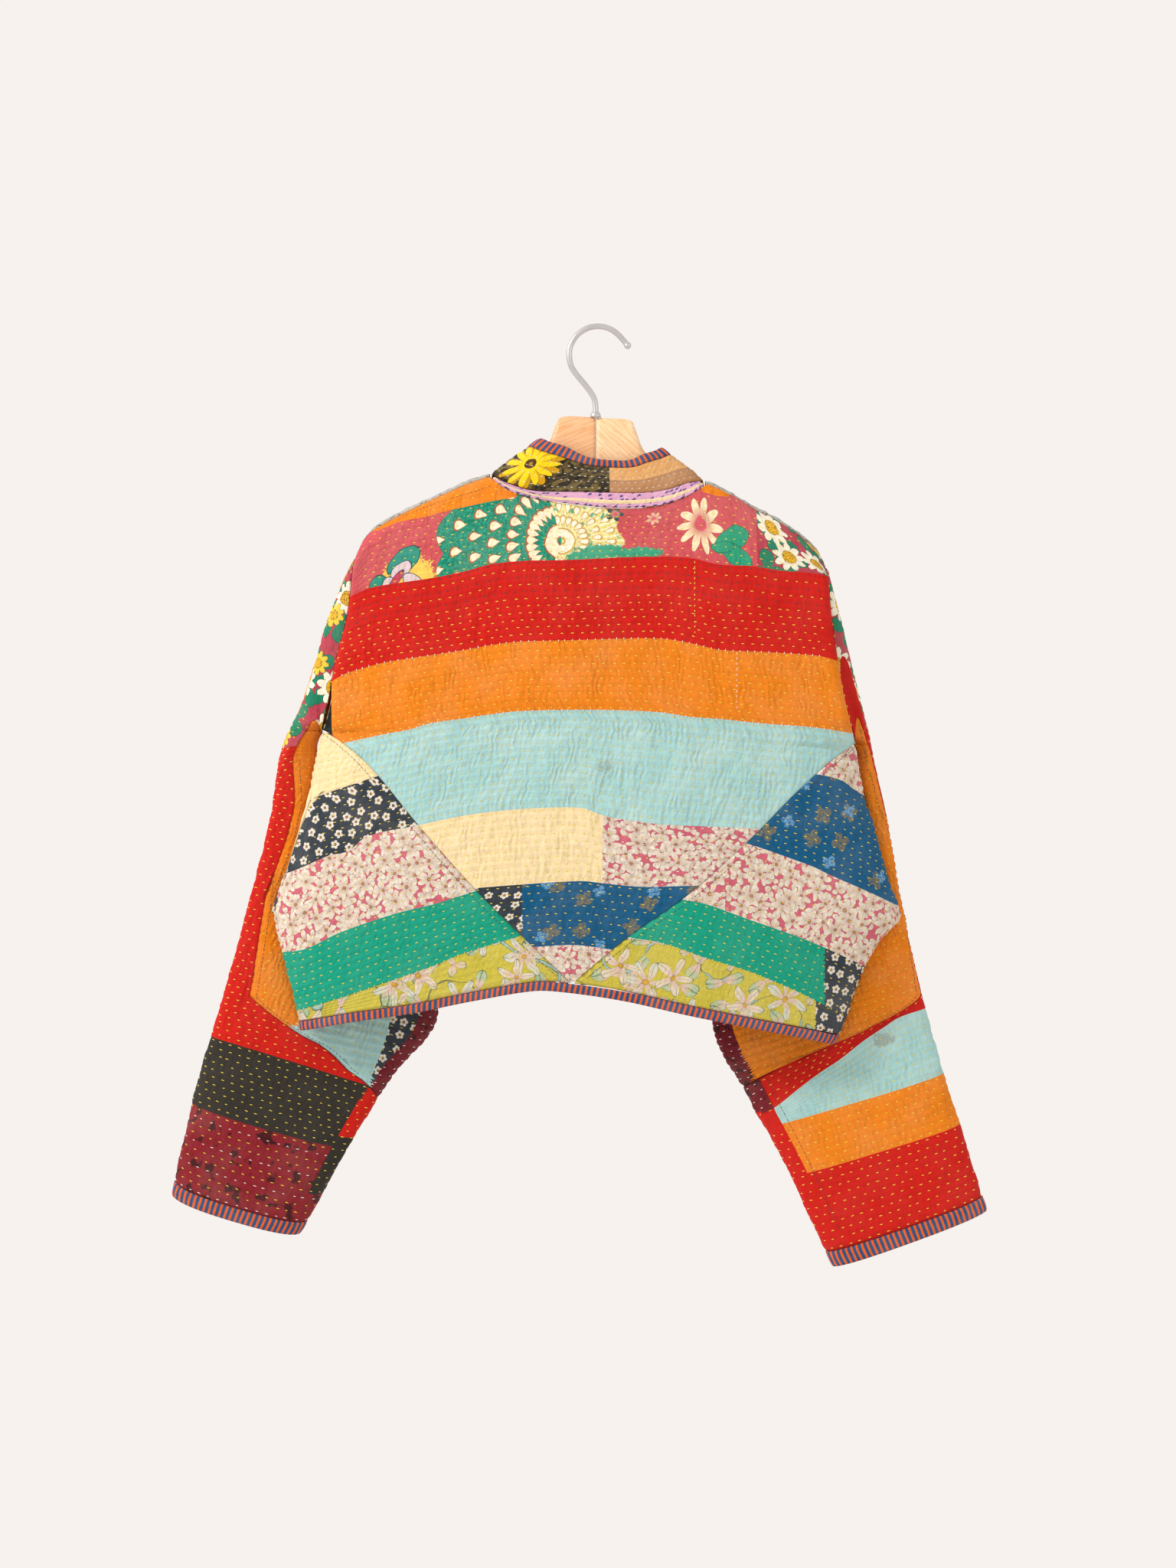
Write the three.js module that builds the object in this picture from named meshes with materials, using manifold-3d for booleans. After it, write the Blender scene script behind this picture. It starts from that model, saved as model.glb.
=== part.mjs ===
// Kantha jacket: a cropped jacket of quilted patchwork cloth on a wooden hanger with a metal hook.
// Millimetres. The jacket's back faces -Y, +X is its right-hand side as the back is looked at, +Z is up.
// The origin is where the inner top of the hook rests on whatever carries it.

import * as THREE from 'three';
import { mergeVertices } from 'three/addons/utils/BufferGeometryUtils.js';
import Module from 'manifold-3d';

const wasm = await Module();
wasm.setup();

// Driving dimensions

const cloth = 2.4;             // quilted cloth, several layers stitched together
const seamGap = 0.3;           // between neighbouring pieces
const bindingRise = 0.6;       // a binding stands this far proud of the cloth, outside and inside
const bindingHeight = 8.5;     // bindings at hem, cuffs and front edges
const shoulderRound = 16;      // height over which the cloth rounds across the hanger's arms
const boxiness = 2.5;          // superellipse power of the flattened body and sleeves
const armholeDepth = 21;       // half depth of the armhole at its middle
const shoulderSeamDrop = 3.4;  // the shoulder seam lies this far down on the back of the ridge
const frontOpening = 14;       // cloth edge of each front, from the centre line
const hemBindingRoom = 1.6;    // the hem binding stops this far before the slanted front bindings
const necklineDrop = 74;       // from the shoulders to the lowest part of the neckline on the front
const pieceRoom = 3.4;         // least room between a sleeve and the body side that it hangs behind
const slantEnd = 0.992;        // the slanted seams stop at this share of their length, above the hem binding
const hemFold = { left: -614, right: -626 };   // height of the cloth's end at the two side folds

// Outline of the body at its left and right edge: shoulder end, armhole seam, underarm, side fold, hem

const leftEdge = [
  { z: -150, x: -213 },
  { z: -203, x: -216 },
  { z: -252, x: -221 },
  { z: -292, x: -231 },
  { z: -337, x: -240 },
  { z: -357, x: -245 },
  { z: -405, x: -255 },
  { z: -452, x: -267 },
  { z: -485, x: -278 },
  { z: -513, x: -288 },
  { z: -525, x: -287 },
  { z: -551, x: -281 },
  { z: -604, x: -267 },
  { z: -640, x: -262 },
];

const rightEdge = [
  { z: -150, x: 201 },
  { z: -212, x: 203 },
  { z: -252, x: 206 },
  { z: -296, x: 212 },
  { z: -333, x: 219 },
  { z: -369, x: 228 },
  { z: -415, x: 236 },
  { z: -442, x: 245 },
  { z: -495, x: 260 },
  { z: -517, x: 268 },
  { z: -526, x: 267 },
  { z: -541, x: 251 },
  { z: -588, x: 228 },
  { z: -616, x: 219 },
  { z: -645, x: 204 },
];

// Shoulder ridge, running on above the neck opening where no cloth is

const ridge = [
  { x: -300, z: -306 },
  { x: -216, z: -203 },
  { x: -205, z: -182 },
  { x: -191, z: -171 },
  { x: -150, z: -150 },
  { x: -96, z: -128 },
  { x: 0, z: -112 },
  { x: 95, z: -134 },
  { x: 142, z: -159 },
  { x: 173, z: -177 },
  { x: 194, z: -195 },
  { x: 203, z: -212 },
  { x: 290, z: -330 },
];

// How far the back and the front stand from the hanger's plane

const fullness = [
  { z: -110, back: 20, front: 18 },
  { z: -160, back: 25, front: 22 },
  { z: -230, back: 33, front: 25 },
  { z: -330, back: 38, front: 27 },
  { z: -450, back: 41, front: 28 },
  { z: -560, back: 39, front: 28 },
  { z: -645, back: 36, front: 27 },
];

const underarm = { left: -357, right: -369 };
const shoulderEnd = { left: -203, right: -212 };

// Neck seam on the back, from the left shoulder to the right one

const backNeck = [
  { x: -96, z: -131.4 },
  { x: -82, z: -143 },
  { x: -62, z: -151 },
  { x: -28, z: -157 },
  { x: 13, z: -161 },
  { x: 53, z: -159 },
  { x: 77, z: -151 },
  { x: 87, z: -145 },
  { x: 96.5, z: -138.2 },
];

// Slanted seams between the back panel and the side pieces, from the underarms to the point at the hem

const leftSlant = [
  { x: -244, z: -357 },
  { x: -231, z: -364 },
  { x: -210, z: -380 },
  { x: -194, z: -396 },
  { x: -157, z: -441 },
  { x: -107, z: -497 },
  { x: -68, z: -536 },
  { x: -24, z: -578 },
];

const rightSlant = [
  { x: 227, z: -369 },
  { x: 209, z: -381 },
  { x: 175, z: -411 },
  { x: 130, z: -456 },
  { x: 75, z: -504 },
  { x: 27, z: -538 },
  { x: -22, z: -578 },
];

// Where the cloth ends above the hem binding, on the back and on the front

const backHem = [
  { x: -265, z: -614 },
  { x: -217, z: -605 },
  { x: -162, z: -597 },
  { x: -108, z: -586 },
  { x: -55, z: -577 },
  { x: -28, z: -578 },
  { x: 26, z: -586 },
  { x: 80, z: -598 },
  { x: 134, z: -609 },
  { x: 189, z: -620 },
  { x: 216, z: -626 },
];

const frontHem = [
  { x: -265, z: -614 },
  { x: -200, z: -601 },
  { x: -110, z: -584 },
  { x: -20, z: -574 },
  { x: 80, z: -593 },
  { x: 150, z: -609 },
  { x: 216, z: -626 },
];

const frontCentre = [
  { z: -150, x: 0 },
  { z: -205, x: -1 },
  { z: -640, x: -24 },
];

// Width of each side piece on the front, from the side fold to its seam

const sidePieceFront = { atUnderarm: 8, atHem: 62 };

// Sleeves: a row for each ring, from the armhole to the cuff. The outer point lies on the upper fold, the
// inner point on the lower fold, which swings behind the body. half is half the depth between them.

const leftSleeve = [
  { outX: -216, outZ: -203, outY: 0, inX: -245, inZ: -357, inY: 0, half: 20 },
  { outX: -239, outZ: -255, outY: 2, inX: -247, inZ: -361, inY: 2, half: 19 },
  { outX: -260, outZ: -325, outY: 4, inX: -249, inZ: -366, inY: 5, half: 17 },
  { outX: -283, outZ: -378, outY: 8, inX: -250, inZ: -376, inY: 14, half: 15 },
  { outX: -292, outZ: -433, outY: 12, inX: -183, inZ: -468, inY: 41, half: 14 },
  { outX: -308, outZ: -497, outY: 16, inX: -155, inZ: -534, inY: 44, half: 14 },
  { outX: -328, outZ: -568, outY: 20, inX: -143, inZ: -607, inY: 42, half: 15 },
  { outX: -346, outZ: -629, outY: 22, inX: -188, inZ: -671, inY: 36, half: 16 },
  { outX: -364, outZ: -693, outY: 22, inX: -227, inZ: -734, inY: 30, half: 16 },
  { outX: -379, outZ: -762, outY: 22, inX: -262, inZ: -797, inY: 25, half: 16 },
];

const rightSleeve = [
  { outX: 203, outZ: -212, outY: 0, inX: 228, inZ: -369, inY: 0, half: 20 },
  { outX: 214, outZ: -255, outY: 2, inX: 229.5, inZ: -371.5, inY: 2, half: 19 },
  { outX: 228, outZ: -309, outY: 4, inX: 231, inZ: -374, inY: 5, half: 17 },
  { outX: 243, outZ: -370, outY: 8, inX: 231.6, inZ: -379, inY: 14, half: 15 },
  { outX: 257, outZ: -431, outY: 12, inX: 162, inZ: -486, inY: 41, half: 14 },
  { outX: 269, outZ: -498, outY: 16, inX: 124, inZ: -553, inY: 44, half: 14 },
  { outX: 283, outZ: -564, outY: 20, inX: 104, inZ: -620, inY: 42, half: 15 },
  { outX: 299, outZ: -627, outY: 22, inX: 132, inZ: -679, inY: 36, half: 16 },
  { outX: 321, outZ: -700, outY: 22, inX: 169, inZ: -747, inY: 30, half: 16 },
  { outX: 345, outZ: -776, outY: 22, inX: 206, inZ: -826, inY: 25, half: 16 },
];

const cuff = { clothEnd: 0.984, bindingEnd: 1.012, leftSag: 7, rightSag: 3 };

// Underarm gussets: a row for each place along the sleeve (0 armhole, 1 cuff), with the gusset's reach
// round the sleeve from the lower fold, in degrees, towards the back and towards the front.

const leftGusset = [
  { along: 0.004, back: 9, front: 9 },
  { along: 0.11, back: 30, front: 30 },
  { along: 0.22, back: 84, front: 78 },
  { along: 0.33, back: 96, front: 92 },
  { along: 0.44, back: 127, front: 110 },
  { along: 0.56, back: 144, front: 122 },
  { along: 0.7, back: 135, front: 116 },
  { along: 0.745, back: 88, front: 76 },
  { along: 0.772, back: 64, front: 56 },
  { along: 0.806, back: 5, front: 5 },
];

const rightGusset = [
  { along: 0.004, back: 9, front: 9 },
  { along: 0.11, back: 40, front: 28 },
  { along: 0.22, back: 86, front: 58 },
  { along: 0.33, back: 118, front: 72 },
  { along: 0.38, back: 162, front: 78 },
  { along: 0.48, back: 190, front: 82 },
  { along: 0.6, back: 190, front: 82 },
  { along: 0.715, back: 176, front: 76 },
  { along: 0.737, back: 118, front: 60 },
  { along: 0.757, back: 68, front: 44 },
  { along: 0.774, back: 5, front: 5 },
];

// Further rings of each sleeve's mesh, closest where it swings behind the body
const sleeveRings = {
  left: [0.055, 0.165, 0.275, 0.36, 0.4, 0.5, 0.65, 0.87, 0.93],
  right: [0.055, 0.165, 0.275, 0.355, 0.42, 0.5, 0.65, 0.87, 0.93],
};

// Collar: a row for each place along it, from the wearer's left front end over the back to the other end.
// low is the seam to the neckline, high the cloth's upper edge under the binding.

const collar = [
  { lowX: -15, lowY: 23.5, lowZ: -200.6, highX: -13, highY: 16, highZ: -173 },
  { lowX: -36, lowY: 23.5, lowZ: -198.2, highX: -29, highY: 16, highZ: -169.5 },
  { lowX: -62, lowY: 22.5, lowZ: -190, highX: -46, highY: 15, highZ: -159 },
  { lowX: -84, lowY: 21.5, lowZ: -172, highX: -58, highY: 13, highZ: -138 },
  { lowX: -94, lowY: 20, lowZ: -148, highX: -63, highY: 10, highZ: -117 },
  { lowX: -95, lowY: 6, lowZ: -128.6, highX: -63, highY: 3, highZ: -105.5 },
  { lowX: -91, lowY: -10, lowZ: -131.5, highX: -58.5, highY: -7, highZ: -105 },
  { lowX: -79, lowY: -18, lowZ: -138, highX: -50, highY: -12, highZ: -109 },
  { lowX: -55, lowY: -22, lowZ: -145, highX: -34, highY: -15, highZ: -114 },
  { lowX: -14, lowY: -23, lowZ: -146, highX: -8, highY: -16, highZ: -122 },
  { lowX: 33, lowY: -23, lowZ: -147, highX: 27, highY: -16, highZ: -124 },
  { lowX: 60, lowY: -21, lowZ: -144, highX: 44, highY: -14, highZ: -119 },
  { lowX: 78, lowY: -17, lowZ: -138, highX: 56, highY: -10, highZ: -115 },
  { lowX: 90, lowY: -9, lowZ: -135, highX: 63, highY: -6, highZ: -112 },
  { lowX: 94.5, lowY: 6, lowZ: -134.8, highX: 65, highY: 3, highZ: -112.5 },
  { lowX: 93.5, lowY: 20, lowZ: -154, highX: 65, highY: 10, highZ: -123 },
  { lowX: 84, lowY: 21.5, lowZ: -177, highX: 60, highY: 13, highZ: -143 },
  { lowX: 61, lowY: 22.5, lowZ: -195, highX: 47, highY: 15, highZ: -163 },
  { lowX: 34, lowY: 23.5, lowZ: -203.8, highX: 27, highY: 16, highZ: -175 },
  { lowX: 13, lowY: 23.5, lowZ: -206.2, highX: 11, highY: 16, highZ: -178 },
];

const collarBindingShare = 0.27;   // height of the collar's binding as a share of the collar's height
const tapeTip = 0.045;             // the neck tape's pointed ends stop this share short of the shoulders

// Hanger arms: a row for each section from the middle joint outwards

const leftArm = [
  { x: -1.6, top: -78.5, bottom: -128, half: 6 },
  { x: -30, top: -77.5, bottom: -129, half: 6 },
  { x: -37, top: -84, bottom: -131, half: 6 },
  { x: -44, top: -102, bottom: -136, half: 6 },
  { x: -56, top: -114, bottom: -143, half: 6 },
  { x: -76, top: -127, bottom: -152, half: 7 },
  { x: -100, top: -135.5, bottom: -162, half: 8 },
  { x: -150, top: -153.2, bottom: -183, half: 12 },
  { x: -180, top: -168.1, bottom: -196, half: 13 },
  { x: -193, top: -176.4, bottom: -202, half: 12 },
  { x: -201, top: -185, bottom: -204, half: 8 },
];

const rightArm = [
  { x: -1.2, top: -78.5, bottom: -128, half: 6 },
  { x: 27, top: -80.6, bottom: -130, half: 6 },
  { x: 33, top: -88, bottom: -132, half: 6 },
  { x: 41, top: -108, bottom: -138, half: 6 },
  { x: 56, top: -121, bottom: -147, half: 6 },
  { x: 76, top: -135, bottom: -158, half: 7 },
  { x: 100, top: -143, bottom: -168, half: 8 },
  { x: 142, top: -162.3, bottom: -190, half: 12 },
  { x: 168, top: -177.6, bottom: -204, half: 13 },
  { x: 181, top: -187.4, bottom: -210, half: 12 },
  { x: 190, top: -197, bottom: -213, half: 8 },
];

const hook = {
  wire: 2.6,
  bend: 25.6,
  ball: 3.3,
  tipX: 28.5,
  tipZ: -17,
  collarRadius: 5,
  collarTop: 4,
  collarHeight: 5,
  collarFoot: -78.4,
};

const hookShank = [
  { x: -2.1, z: -74 },
  { x: -2.1, z: -69 },
  { x: -3.2, z: -62 },
  { x: -6.8, z: -55.5 },
  { x: -12.6, z: -48 },
  { x: -19.6, z: -39.5 },
  { x: -24.2, z: -31.5 },
];

// Look of the cloth, wood and metal

const colours = {
  back: 0xe08a2e,
  side: 0xc79a95,
  front: 0x8f8d87,
  sleeve: 0xc8322a,
  gusset: 0xe58a2c,
  collar: 0x5f442f,
  tape: 0xd89bbe,
  binding: 0x3d4f86,
  wood: 0xf0c597,
  metal: 0xdcd8d2,
};

function clothMaterial(colour) {
  return new THREE.MeshStandardMaterial({ color: colour, roughness: 0.9, metalness: 0 });
}

const woodMaterial = new THREE.MeshStandardMaterial({ color: colours.wood, roughness: 0.55, metalness: 0 });
const metalMaterial = new THREE.MeshStandardMaterial({ color: colours.metal, roughness: 0.25, metalness: 1 });

// Small helpers

function mix(a, b, share) {
  return a + (b - a) * share;
}

function limit(value, low, high) {
  return Math.min(high, Math.max(low, value));
}

function smooth(value) {
  const share = limit(value, 0, 1);
  return share * share * (3 - 2 * share);
}

// Value of one column of a table at a given key, on a smooth curve through the table's rows. A calm curve
// never swings past its rows.
function read(table, keyColumn, column, key, calm = false) {
  const rising = table[table.length - 1][keyColumn] > table[0][keyColumn];
  const rows = rising ? table : [...table].reverse();
  const last = rows.length - 1;
  let i = 0;
  while (i < last - 1 && key > rows[i + 1][keyColumn]) {
    i += 1;
  }
  const between = (a, b) => (b[column] - a[column]) / (b[keyColumn] - a[keyColumn]);
  const slope = (k) => {
    const before = rows[Math.max(0, k - 1)];
    const after = rows[Math.min(last, k + 1)];
    if (!calm || k === 0 || k === last) {
      return between(before, after);
    }
    const into = between(before, rows[k]);
    const out = between(rows[k], after);
    return into * out <= 0 ? 0 : 2 * into * out / (into + out);
  };
  const start = rows[i];
  const end = rows[i + 1];
  const step = end[keyColumn] - start[keyColumn];
  const t = limit((key - start[keyColumn]) / step, 0, 1);
  const over = key - mix(start[keyColumn], end[keyColumn], t);
  const t2 = t * t;
  const t3 = t2 * t;
  const value = (2 * t3 - 3 * t2 + 1) * start[column] + (t3 - 2 * t2 + t) * step * slope(i)
    + (3 * t2 - 2 * t3) * end[column] + (t3 - t2) * step * slope(i + 1);
  return value + over * slope(over < 0 ? i : i + 1);
}

// Rows of a table read at evenly spread places from 0 to 1
function spread(table, column, place, calm) {
  const last = table.length - 1;
  const rows = table.map((row, i) => ({ place: i / last, value: row[column] }));
  return read(rows, 'place', 'value', place, calm);
}

// Place along a polyline of x, z rows, by its length
function along(table, share) {
  const lengths = [0];
  for (let i = 1; i < table.length; i += 1) {
    const step = Math.hypot(table[i].x - table[i - 1].x, table[i].z - table[i - 1].z);
    lengths.push(lengths[i - 1] + step);
  }
  const rows = table.map((row, i) => ({ length: lengths[i], x: row.x, z: row.z }));
  const key = share * lengths[lengths.length - 1];
  return { x: read(rows, 'length', 'x', key), z: read(rows, 'length', 'z', key) };
}

function superSin(angle) {
  return Math.sign(Math.sin(angle)) * Math.abs(Math.sin(angle)) ** (2 / boxiness);
}

function superCos(angle) {
  return Math.sign(Math.cos(angle)) * Math.abs(Math.cos(angle)) ** (2 / boxiness);
}

// Closed wall between an outer and an inner grid of points. Rows run along, columns across. When
// closedFrom is given, the first and last columns are the same cloth from that row on.
function wall(outer, inner, closedFrom = Infinity) {
  const rows = outer.length;
  const columns = outer[0].length;
  const position = [];
  const index = [];
  const ids = { outer: [], inner: [] };
  for (const layer of ['outer', 'inner']) {
    const grid = layer === 'outer' ? outer : inner;
    for (let j = 0; j < rows; j += 1) {
      ids[layer].push([]);
      for (let i = 0; i < columns; i += 1) {
        if (i === columns - 1 && j >= closedFrom) {
          ids[layer][j].push(ids[layer][j][0]);
        } else {
          ids[layer][j].push(position.length / 3);
          position.push(...grid[j][i]);
        }
      }
    }
  }
  const quad = (a, b, c, d) => {
    index.push(a, b, c, a, c, d);
  };
  const o = ids.outer;
  const n = ids.inner;
  for (let j = 0; j < rows - 1; j += 1) {
    for (let i = 0; i < columns - 1; i += 1) {
      quad(o[j][i], o[j + 1][i], o[j + 1][i + 1], o[j][i + 1]);
      quad(n[j][i], n[j][i + 1], n[j + 1][i + 1], n[j + 1][i]);
    }
    if (j < closedFrom) {
      quad(o[j][0], n[j][0], n[j + 1][0], o[j + 1][0]);
      quad(o[j][columns - 1], o[j + 1][columns - 1], n[j + 1][columns - 1], n[j][columns - 1]);
    }
  }
  for (let i = 0; i < columns - 1; i += 1) {
    quad(o[0][i], o[0][i + 1], n[0][i + 1], n[0][i]);
    quad(o[rows - 1][i], n[rows - 1][i], n[rows - 1][i + 1], o[rows - 1][i + 1]);
  }
  return outward(position, index);
}

// Geometry with its faces turned outwards
function outward(position, index) {
  let volume = 0;
  const a = new THREE.Vector3();
  const b = new THREE.Vector3();
  const c = new THREE.Vector3();
  for (let k = 0; k < index.length; k += 3) {
    a.fromArray(position, index[k] * 3);
    b.fromArray(position, index[k + 1] * 3);
    c.fromArray(position, index[k + 2] * 3);
    volume += a.dot(b.cross(c));
  }
  if (volume < 0) {
    for (let k = 0; k < index.length; k += 3) {
      [index[k], index[k + 1]] = [index[k + 1], index[k]];
    }
  }
  const geometry = new THREE.BufferGeometry();
  geometry.setAttribute('position', new THREE.Float32BufferAttribute(position, 3));
  geometry.setIndex(index);
  return geometry;
}

// Wall from a surface function of (across, along, inset)
function wallOf(surface, across, down, insets, closedFrom) {
  const layer = (inset) => down.map((v) => across.map((u) => surface(u, v, inset)));
  return wall(layer(insets[0]), layer(insets[1]), closedFrom);
}

function steps(count, from = 0, to = 1) {
  return Array.from({ length: count + 1 }, (_, i) => mix(from, to, i / count));
}

// Body

const edgeOf = {
  left: (z) => read(leftEdge, 'z', 'x', z),
  right: (z) => read(rightEdge, 'z', 'x', z),
};

function ridgeHeight(x) {
  return read(ridge, 'x', 'z', x);
}

// Half depth of the body at its left or right edge: open at the armhole, closed at the side fold
function edgeDepth(side, z) {
  const share = (shoulderEnd[side] - z) / (shoulderEnd[side] - underarm[side]);
  if (share >= 1) {
    return 0;
  }
  const closing = limit((share - 0.8) / 0.2, 0, 1);
  return mix(3.6, armholeDepth, Math.sqrt(1 - closing * closing));
}

// Soft unevenness of the hanging cloth
function drape(x, z) {
  const slantWave = 1.3 * Math.sin(x / 23 + z / 41) * Math.sin(z / 37 - 0.8);
  const longFold = 1.6 * Math.sin((x + 0.55 * z) / 31 + 1.1);
  return slantWave + longFold;
}

// Point of the body's surface over the place (x, z) of the back (side -1) or front (side 1), moved
// inwards by inset
function bodyPoint(x, z, side, inset) {
  const left = edgeOf.left(z);
  const right = edgeOf.right(z);
  const middle = (left + right) / 2;
  const half = (right - left) / 2;
  const place = limit((x - middle) / half, -1, 1);
  const bulge = Math.max(0, 1 - Math.abs(place) ** boxiness) ** (1 / boxiness);
  const atEdge = edgeDepth(place < 0 ? 'left' : 'right', z);
  const reach = Math.abs(place) ** 3;
  const open = atEdge * reach;
  const deepest = read(fullness, 'z', side < 0 ? 'back' : 'front', z);
  const relief = drape(x, z) * (1 - reach) * smooth((ridgeHeight(x) - z - 20) / 60);
  const depth = open + (deepest - open) * bulge + relief;
  const drop = ridgeHeight(x) - z;
  const overRidge = limit(1 - drop / shoulderRound, 0, 1);
  const turn = Math.sqrt(1 - overRidge * overRidge);
  const inward = 1 - (1 - Math.min(1, depth / 14)) ** 2;
  return [
    x - inset * place ** 3 * (z < underarm[place < 0 ? 'left' : 'right'] ? 1 : 0),
    side * (depth - inset * inward) * turn,
    z - inset * overRidge,
  ];
}

// Panels of the body

function topOfBack(share) {
  const leftShoulder = { from: -214.5, to: -96 };
  const rightShoulder = { from: 96.5, to: 201.5 };
  if (share < 0.3) {
    const x = mix(leftShoulder.from, leftShoulder.to, share / 0.3);
    return { x, z: ridgeHeight(x) - shoulderSeamDrop };
  }
  if (share > 0.7) {
    const x = mix(rightShoulder.from, rightShoulder.to, (share - 0.7) / 0.3);
    return { x, z: ridgeHeight(x) - shoulderSeamDrop };
  }
  const x = mix(leftShoulder.to, rightShoulder.from, (share - 0.3) / 0.4);
  return { x, z: read(backNeck, 'x', 'z', x) };
}

function backSide(side, share) {
  const seam = edgeOf[side];
  const slant = side === 'left' ? leftSlant : rightSlant;
  const top = topOfBack(side === 'left' ? 0 : 1);
  const inwards = side === 'left' ? 1 : -1;
  const seamShare = 0.36;
  if (share < seamShare) {
    const z = mix(top.z, underarm[side], share / seamShare);
    return { x: seam(z) + inwards * seamGap / 2, z };
  }
  const place = along(slant, (share - seamShare) / (1 - seamShare) * slantEnd);
  return { x: place.x + inwards * seamGap / 2, z: place.z + seamGap / 2 };
}

function backPanel() {
  const corner = { left: backSide('left', 0), right: backSide('right', 0) };
  const tip = { left: backSide('left', 1), right: backSide('right', 1) };
  const surface = (u, v, inset) => {
    const top = topOfBack(u);
    const low = { x: mix(tip.left.x, tip.right.x, u), z: mix(tip.left.z, tip.right.z, u) };
    const left = backSide('left', v);
    const right = backSide('right', v);
    const coons = (key) => mix(top[key], low[key], v) + mix(left[key], right[key], u)
      - mix(mix(corner.left[key], corner.right[key], u), low[key], v);
    return bodyPoint(coons('x'), coons('z'), -1, inset);
  };
  const across = [...steps(8, 0, 0.3), ...steps(16, 0.3, 0.7).slice(1), ...steps(8, 0.7, 1).slice(1)];
  const down = [0, 0.012, 0.03, 0.055, ...steps(18, 0.09, 1)];
  return wallOf(surface, across, down, [0, cloth]);
}

function hemHeight(table, x) {
  return read(table, 'x', 'z', x);
}

function foldPlace(side, share) {
  const z = mix(underarm[side] - 1.5, hemFold[side], share);
  return { x: edgeOf[side](z), z };
}

function frontSeam(side, share) {
  const inwards = side === 'left' ? 1 : -1;
  const top = foldPlace(side, 0);
  let low = foldPlace(side, 1).z;
  for (let turn = 0; turn < 3; turn += 1) {
    low = hemHeight(frontHem, edgeOf[side](low) + inwards * sidePieceFront.atHem);
  }
  const z = mix(top.z, low, share);
  const width = mix(sidePieceFront.atUnderarm, sidePieceFront.atHem, share);
  return { x: edgeOf[side](z) + inwards * width, z };
}

// Places down a side piece, which its neighbours on the front share
const sideShares = steps(16, 0.035, 1);

function sidePiece(side) {
  const slant = side === 'left' ? leftSlant : rightSlant;
  const outwards = side === 'left' ? -1 : 1;
  const foldAt = 0.62;
  const surface = (u, share, inset) => {
    const fold = foldPlace(side, share);
    if (u <= foldAt) {
      const seam = along(slant, share * slantEnd);
      seam.x += outwards * seamGap / 2;
      seam.z -= seamGap / 2;
      const k = Math.sin(u / foldAt * Math.PI / 2);
      const x = mix(seam.x, fold.x, k);
      const z = mix(seam.z, fold.z, k);
      const toHem = share ** 6 * smooth(k / 0.15) * smooth((1 - k) / 0.1);
      return bodyPoint(x, mix(z, hemHeight(backHem, x), toHem), -1, inset);
    }
    const seam = frontSeam(side, share);
    seam.x += outwards * seamGap / 2;
    const k = Math.sin((1 - u) / (1 - foldAt) * Math.PI / 2);
    return bodyPoint(mix(seam.x, fold.x, k), mix(seam.z, fold.z, k), 1, inset);
  };
  const across = [...steps(10, 0, foldAt), ...steps(5, foldAt, 1).slice(1)];
  return wallOf(surface, across, sideShares, [0, cloth]);
}

// A front runs over the shoulder from its seam on the back (-1) to where it hangs straight (0), then down
// to the hem (1)
function frontPanel(side) {
  const inwards = side === 'left' ? 1 : -1;
  const neckX = side === 'left' ? -96 : 95.5;
  const shoulderX = side === 'left' ? -214.5 : 201.5;
  const seamAngle = Math.acos(1 - (shoulderSeamDrop - 2 * seamGap) / shoulderRound);
  const armholeShare = 0.42;
  const outerEdge = (v) => {
    const start = ridgeHeight(shoulderX) - shoulderRound;
    if (v < armholeShare) {
      const z = mix(start, underarm[side], v / armholeShare);
      return { x: edgeOf[side](z) + inwards * seamGap, z };
    }
    const place = frontSeam(side, (v - armholeShare) / (1 - armholeShare));
    return { x: place.x + inwards * seamGap / 2, z: place.z };
  };
  const innerEdge = (v) => {
    const start = ridgeHeight(neckX) - shoulderRound;
    const curveShare = 0.28;
    const end = start + shoulderRound - necklineDrop;
    const centre = (z) => read(frontCentre, 'z', 'x', z) - inwards * frontOpening;
    if (v < curveShare) {
      const turn = v / curveShare * Math.PI / 2;
      const z = mix(start, end, Math.sin(turn));
      return { x: mix(centre(end), neckX, Math.cos(turn)), z };
    }
    const z = mix(end, hemHeight(frontHem, centre(-575)), (v - curveShare) / (1 - curveShare));
    return { x: centre(z), z };
  };
  const surface = (u, v, inset) => {
    if (v < 0) {
      const angle = mix(-seamAngle, Math.PI / 2, v + 1);
      const x = mix(shoulderX, neckX, u);
      const z = ridgeHeight(x) - shoulderRound * (1 - Math.cos(angle));
      return bodyPoint(x, z, angle < 0 ? -1 : 1, inset);
    }
    const outer = outerEdge(v);
    const inner = innerEdge(v);
    const x = mix(outer.x, inner.x, u);
    const topX = mix(shoulderX, neckX, u);
    const bow = ridgeHeight(topX) - mix(ridgeHeight(shoulderX), ridgeHeight(neckX), u);
    const hemZ = hemHeight(frontHem, x);
    const z = mix(outer.z, inner.z, u) + bow * (1 - v) ** 2;
    const toHem = v ** 8 * smooth(u / 0.2) * smooth((1 - u) / 0.2);
    return bodyPoint(x, mix(z, hemZ, toHem), 1, inset);
  };
  const beside = sideShares.map((share) => mix(armholeShare, 1, share));
  const down = [...steps(5, -1, -0.2), ...steps(6, 0, armholeShare), ...beside];
  return wallOf(surface, steps(8), down, [0, cloth]);
}

// Sleeves

function sleeveRow(side, place) {
  const table = side === 'left' ? leftSleeve : rightSleeve;
  const row = {};
  for (const column of Object.keys(table[0])) {
    row[column] = spread(table, column, place, true);
  }
  return row;
}

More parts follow.
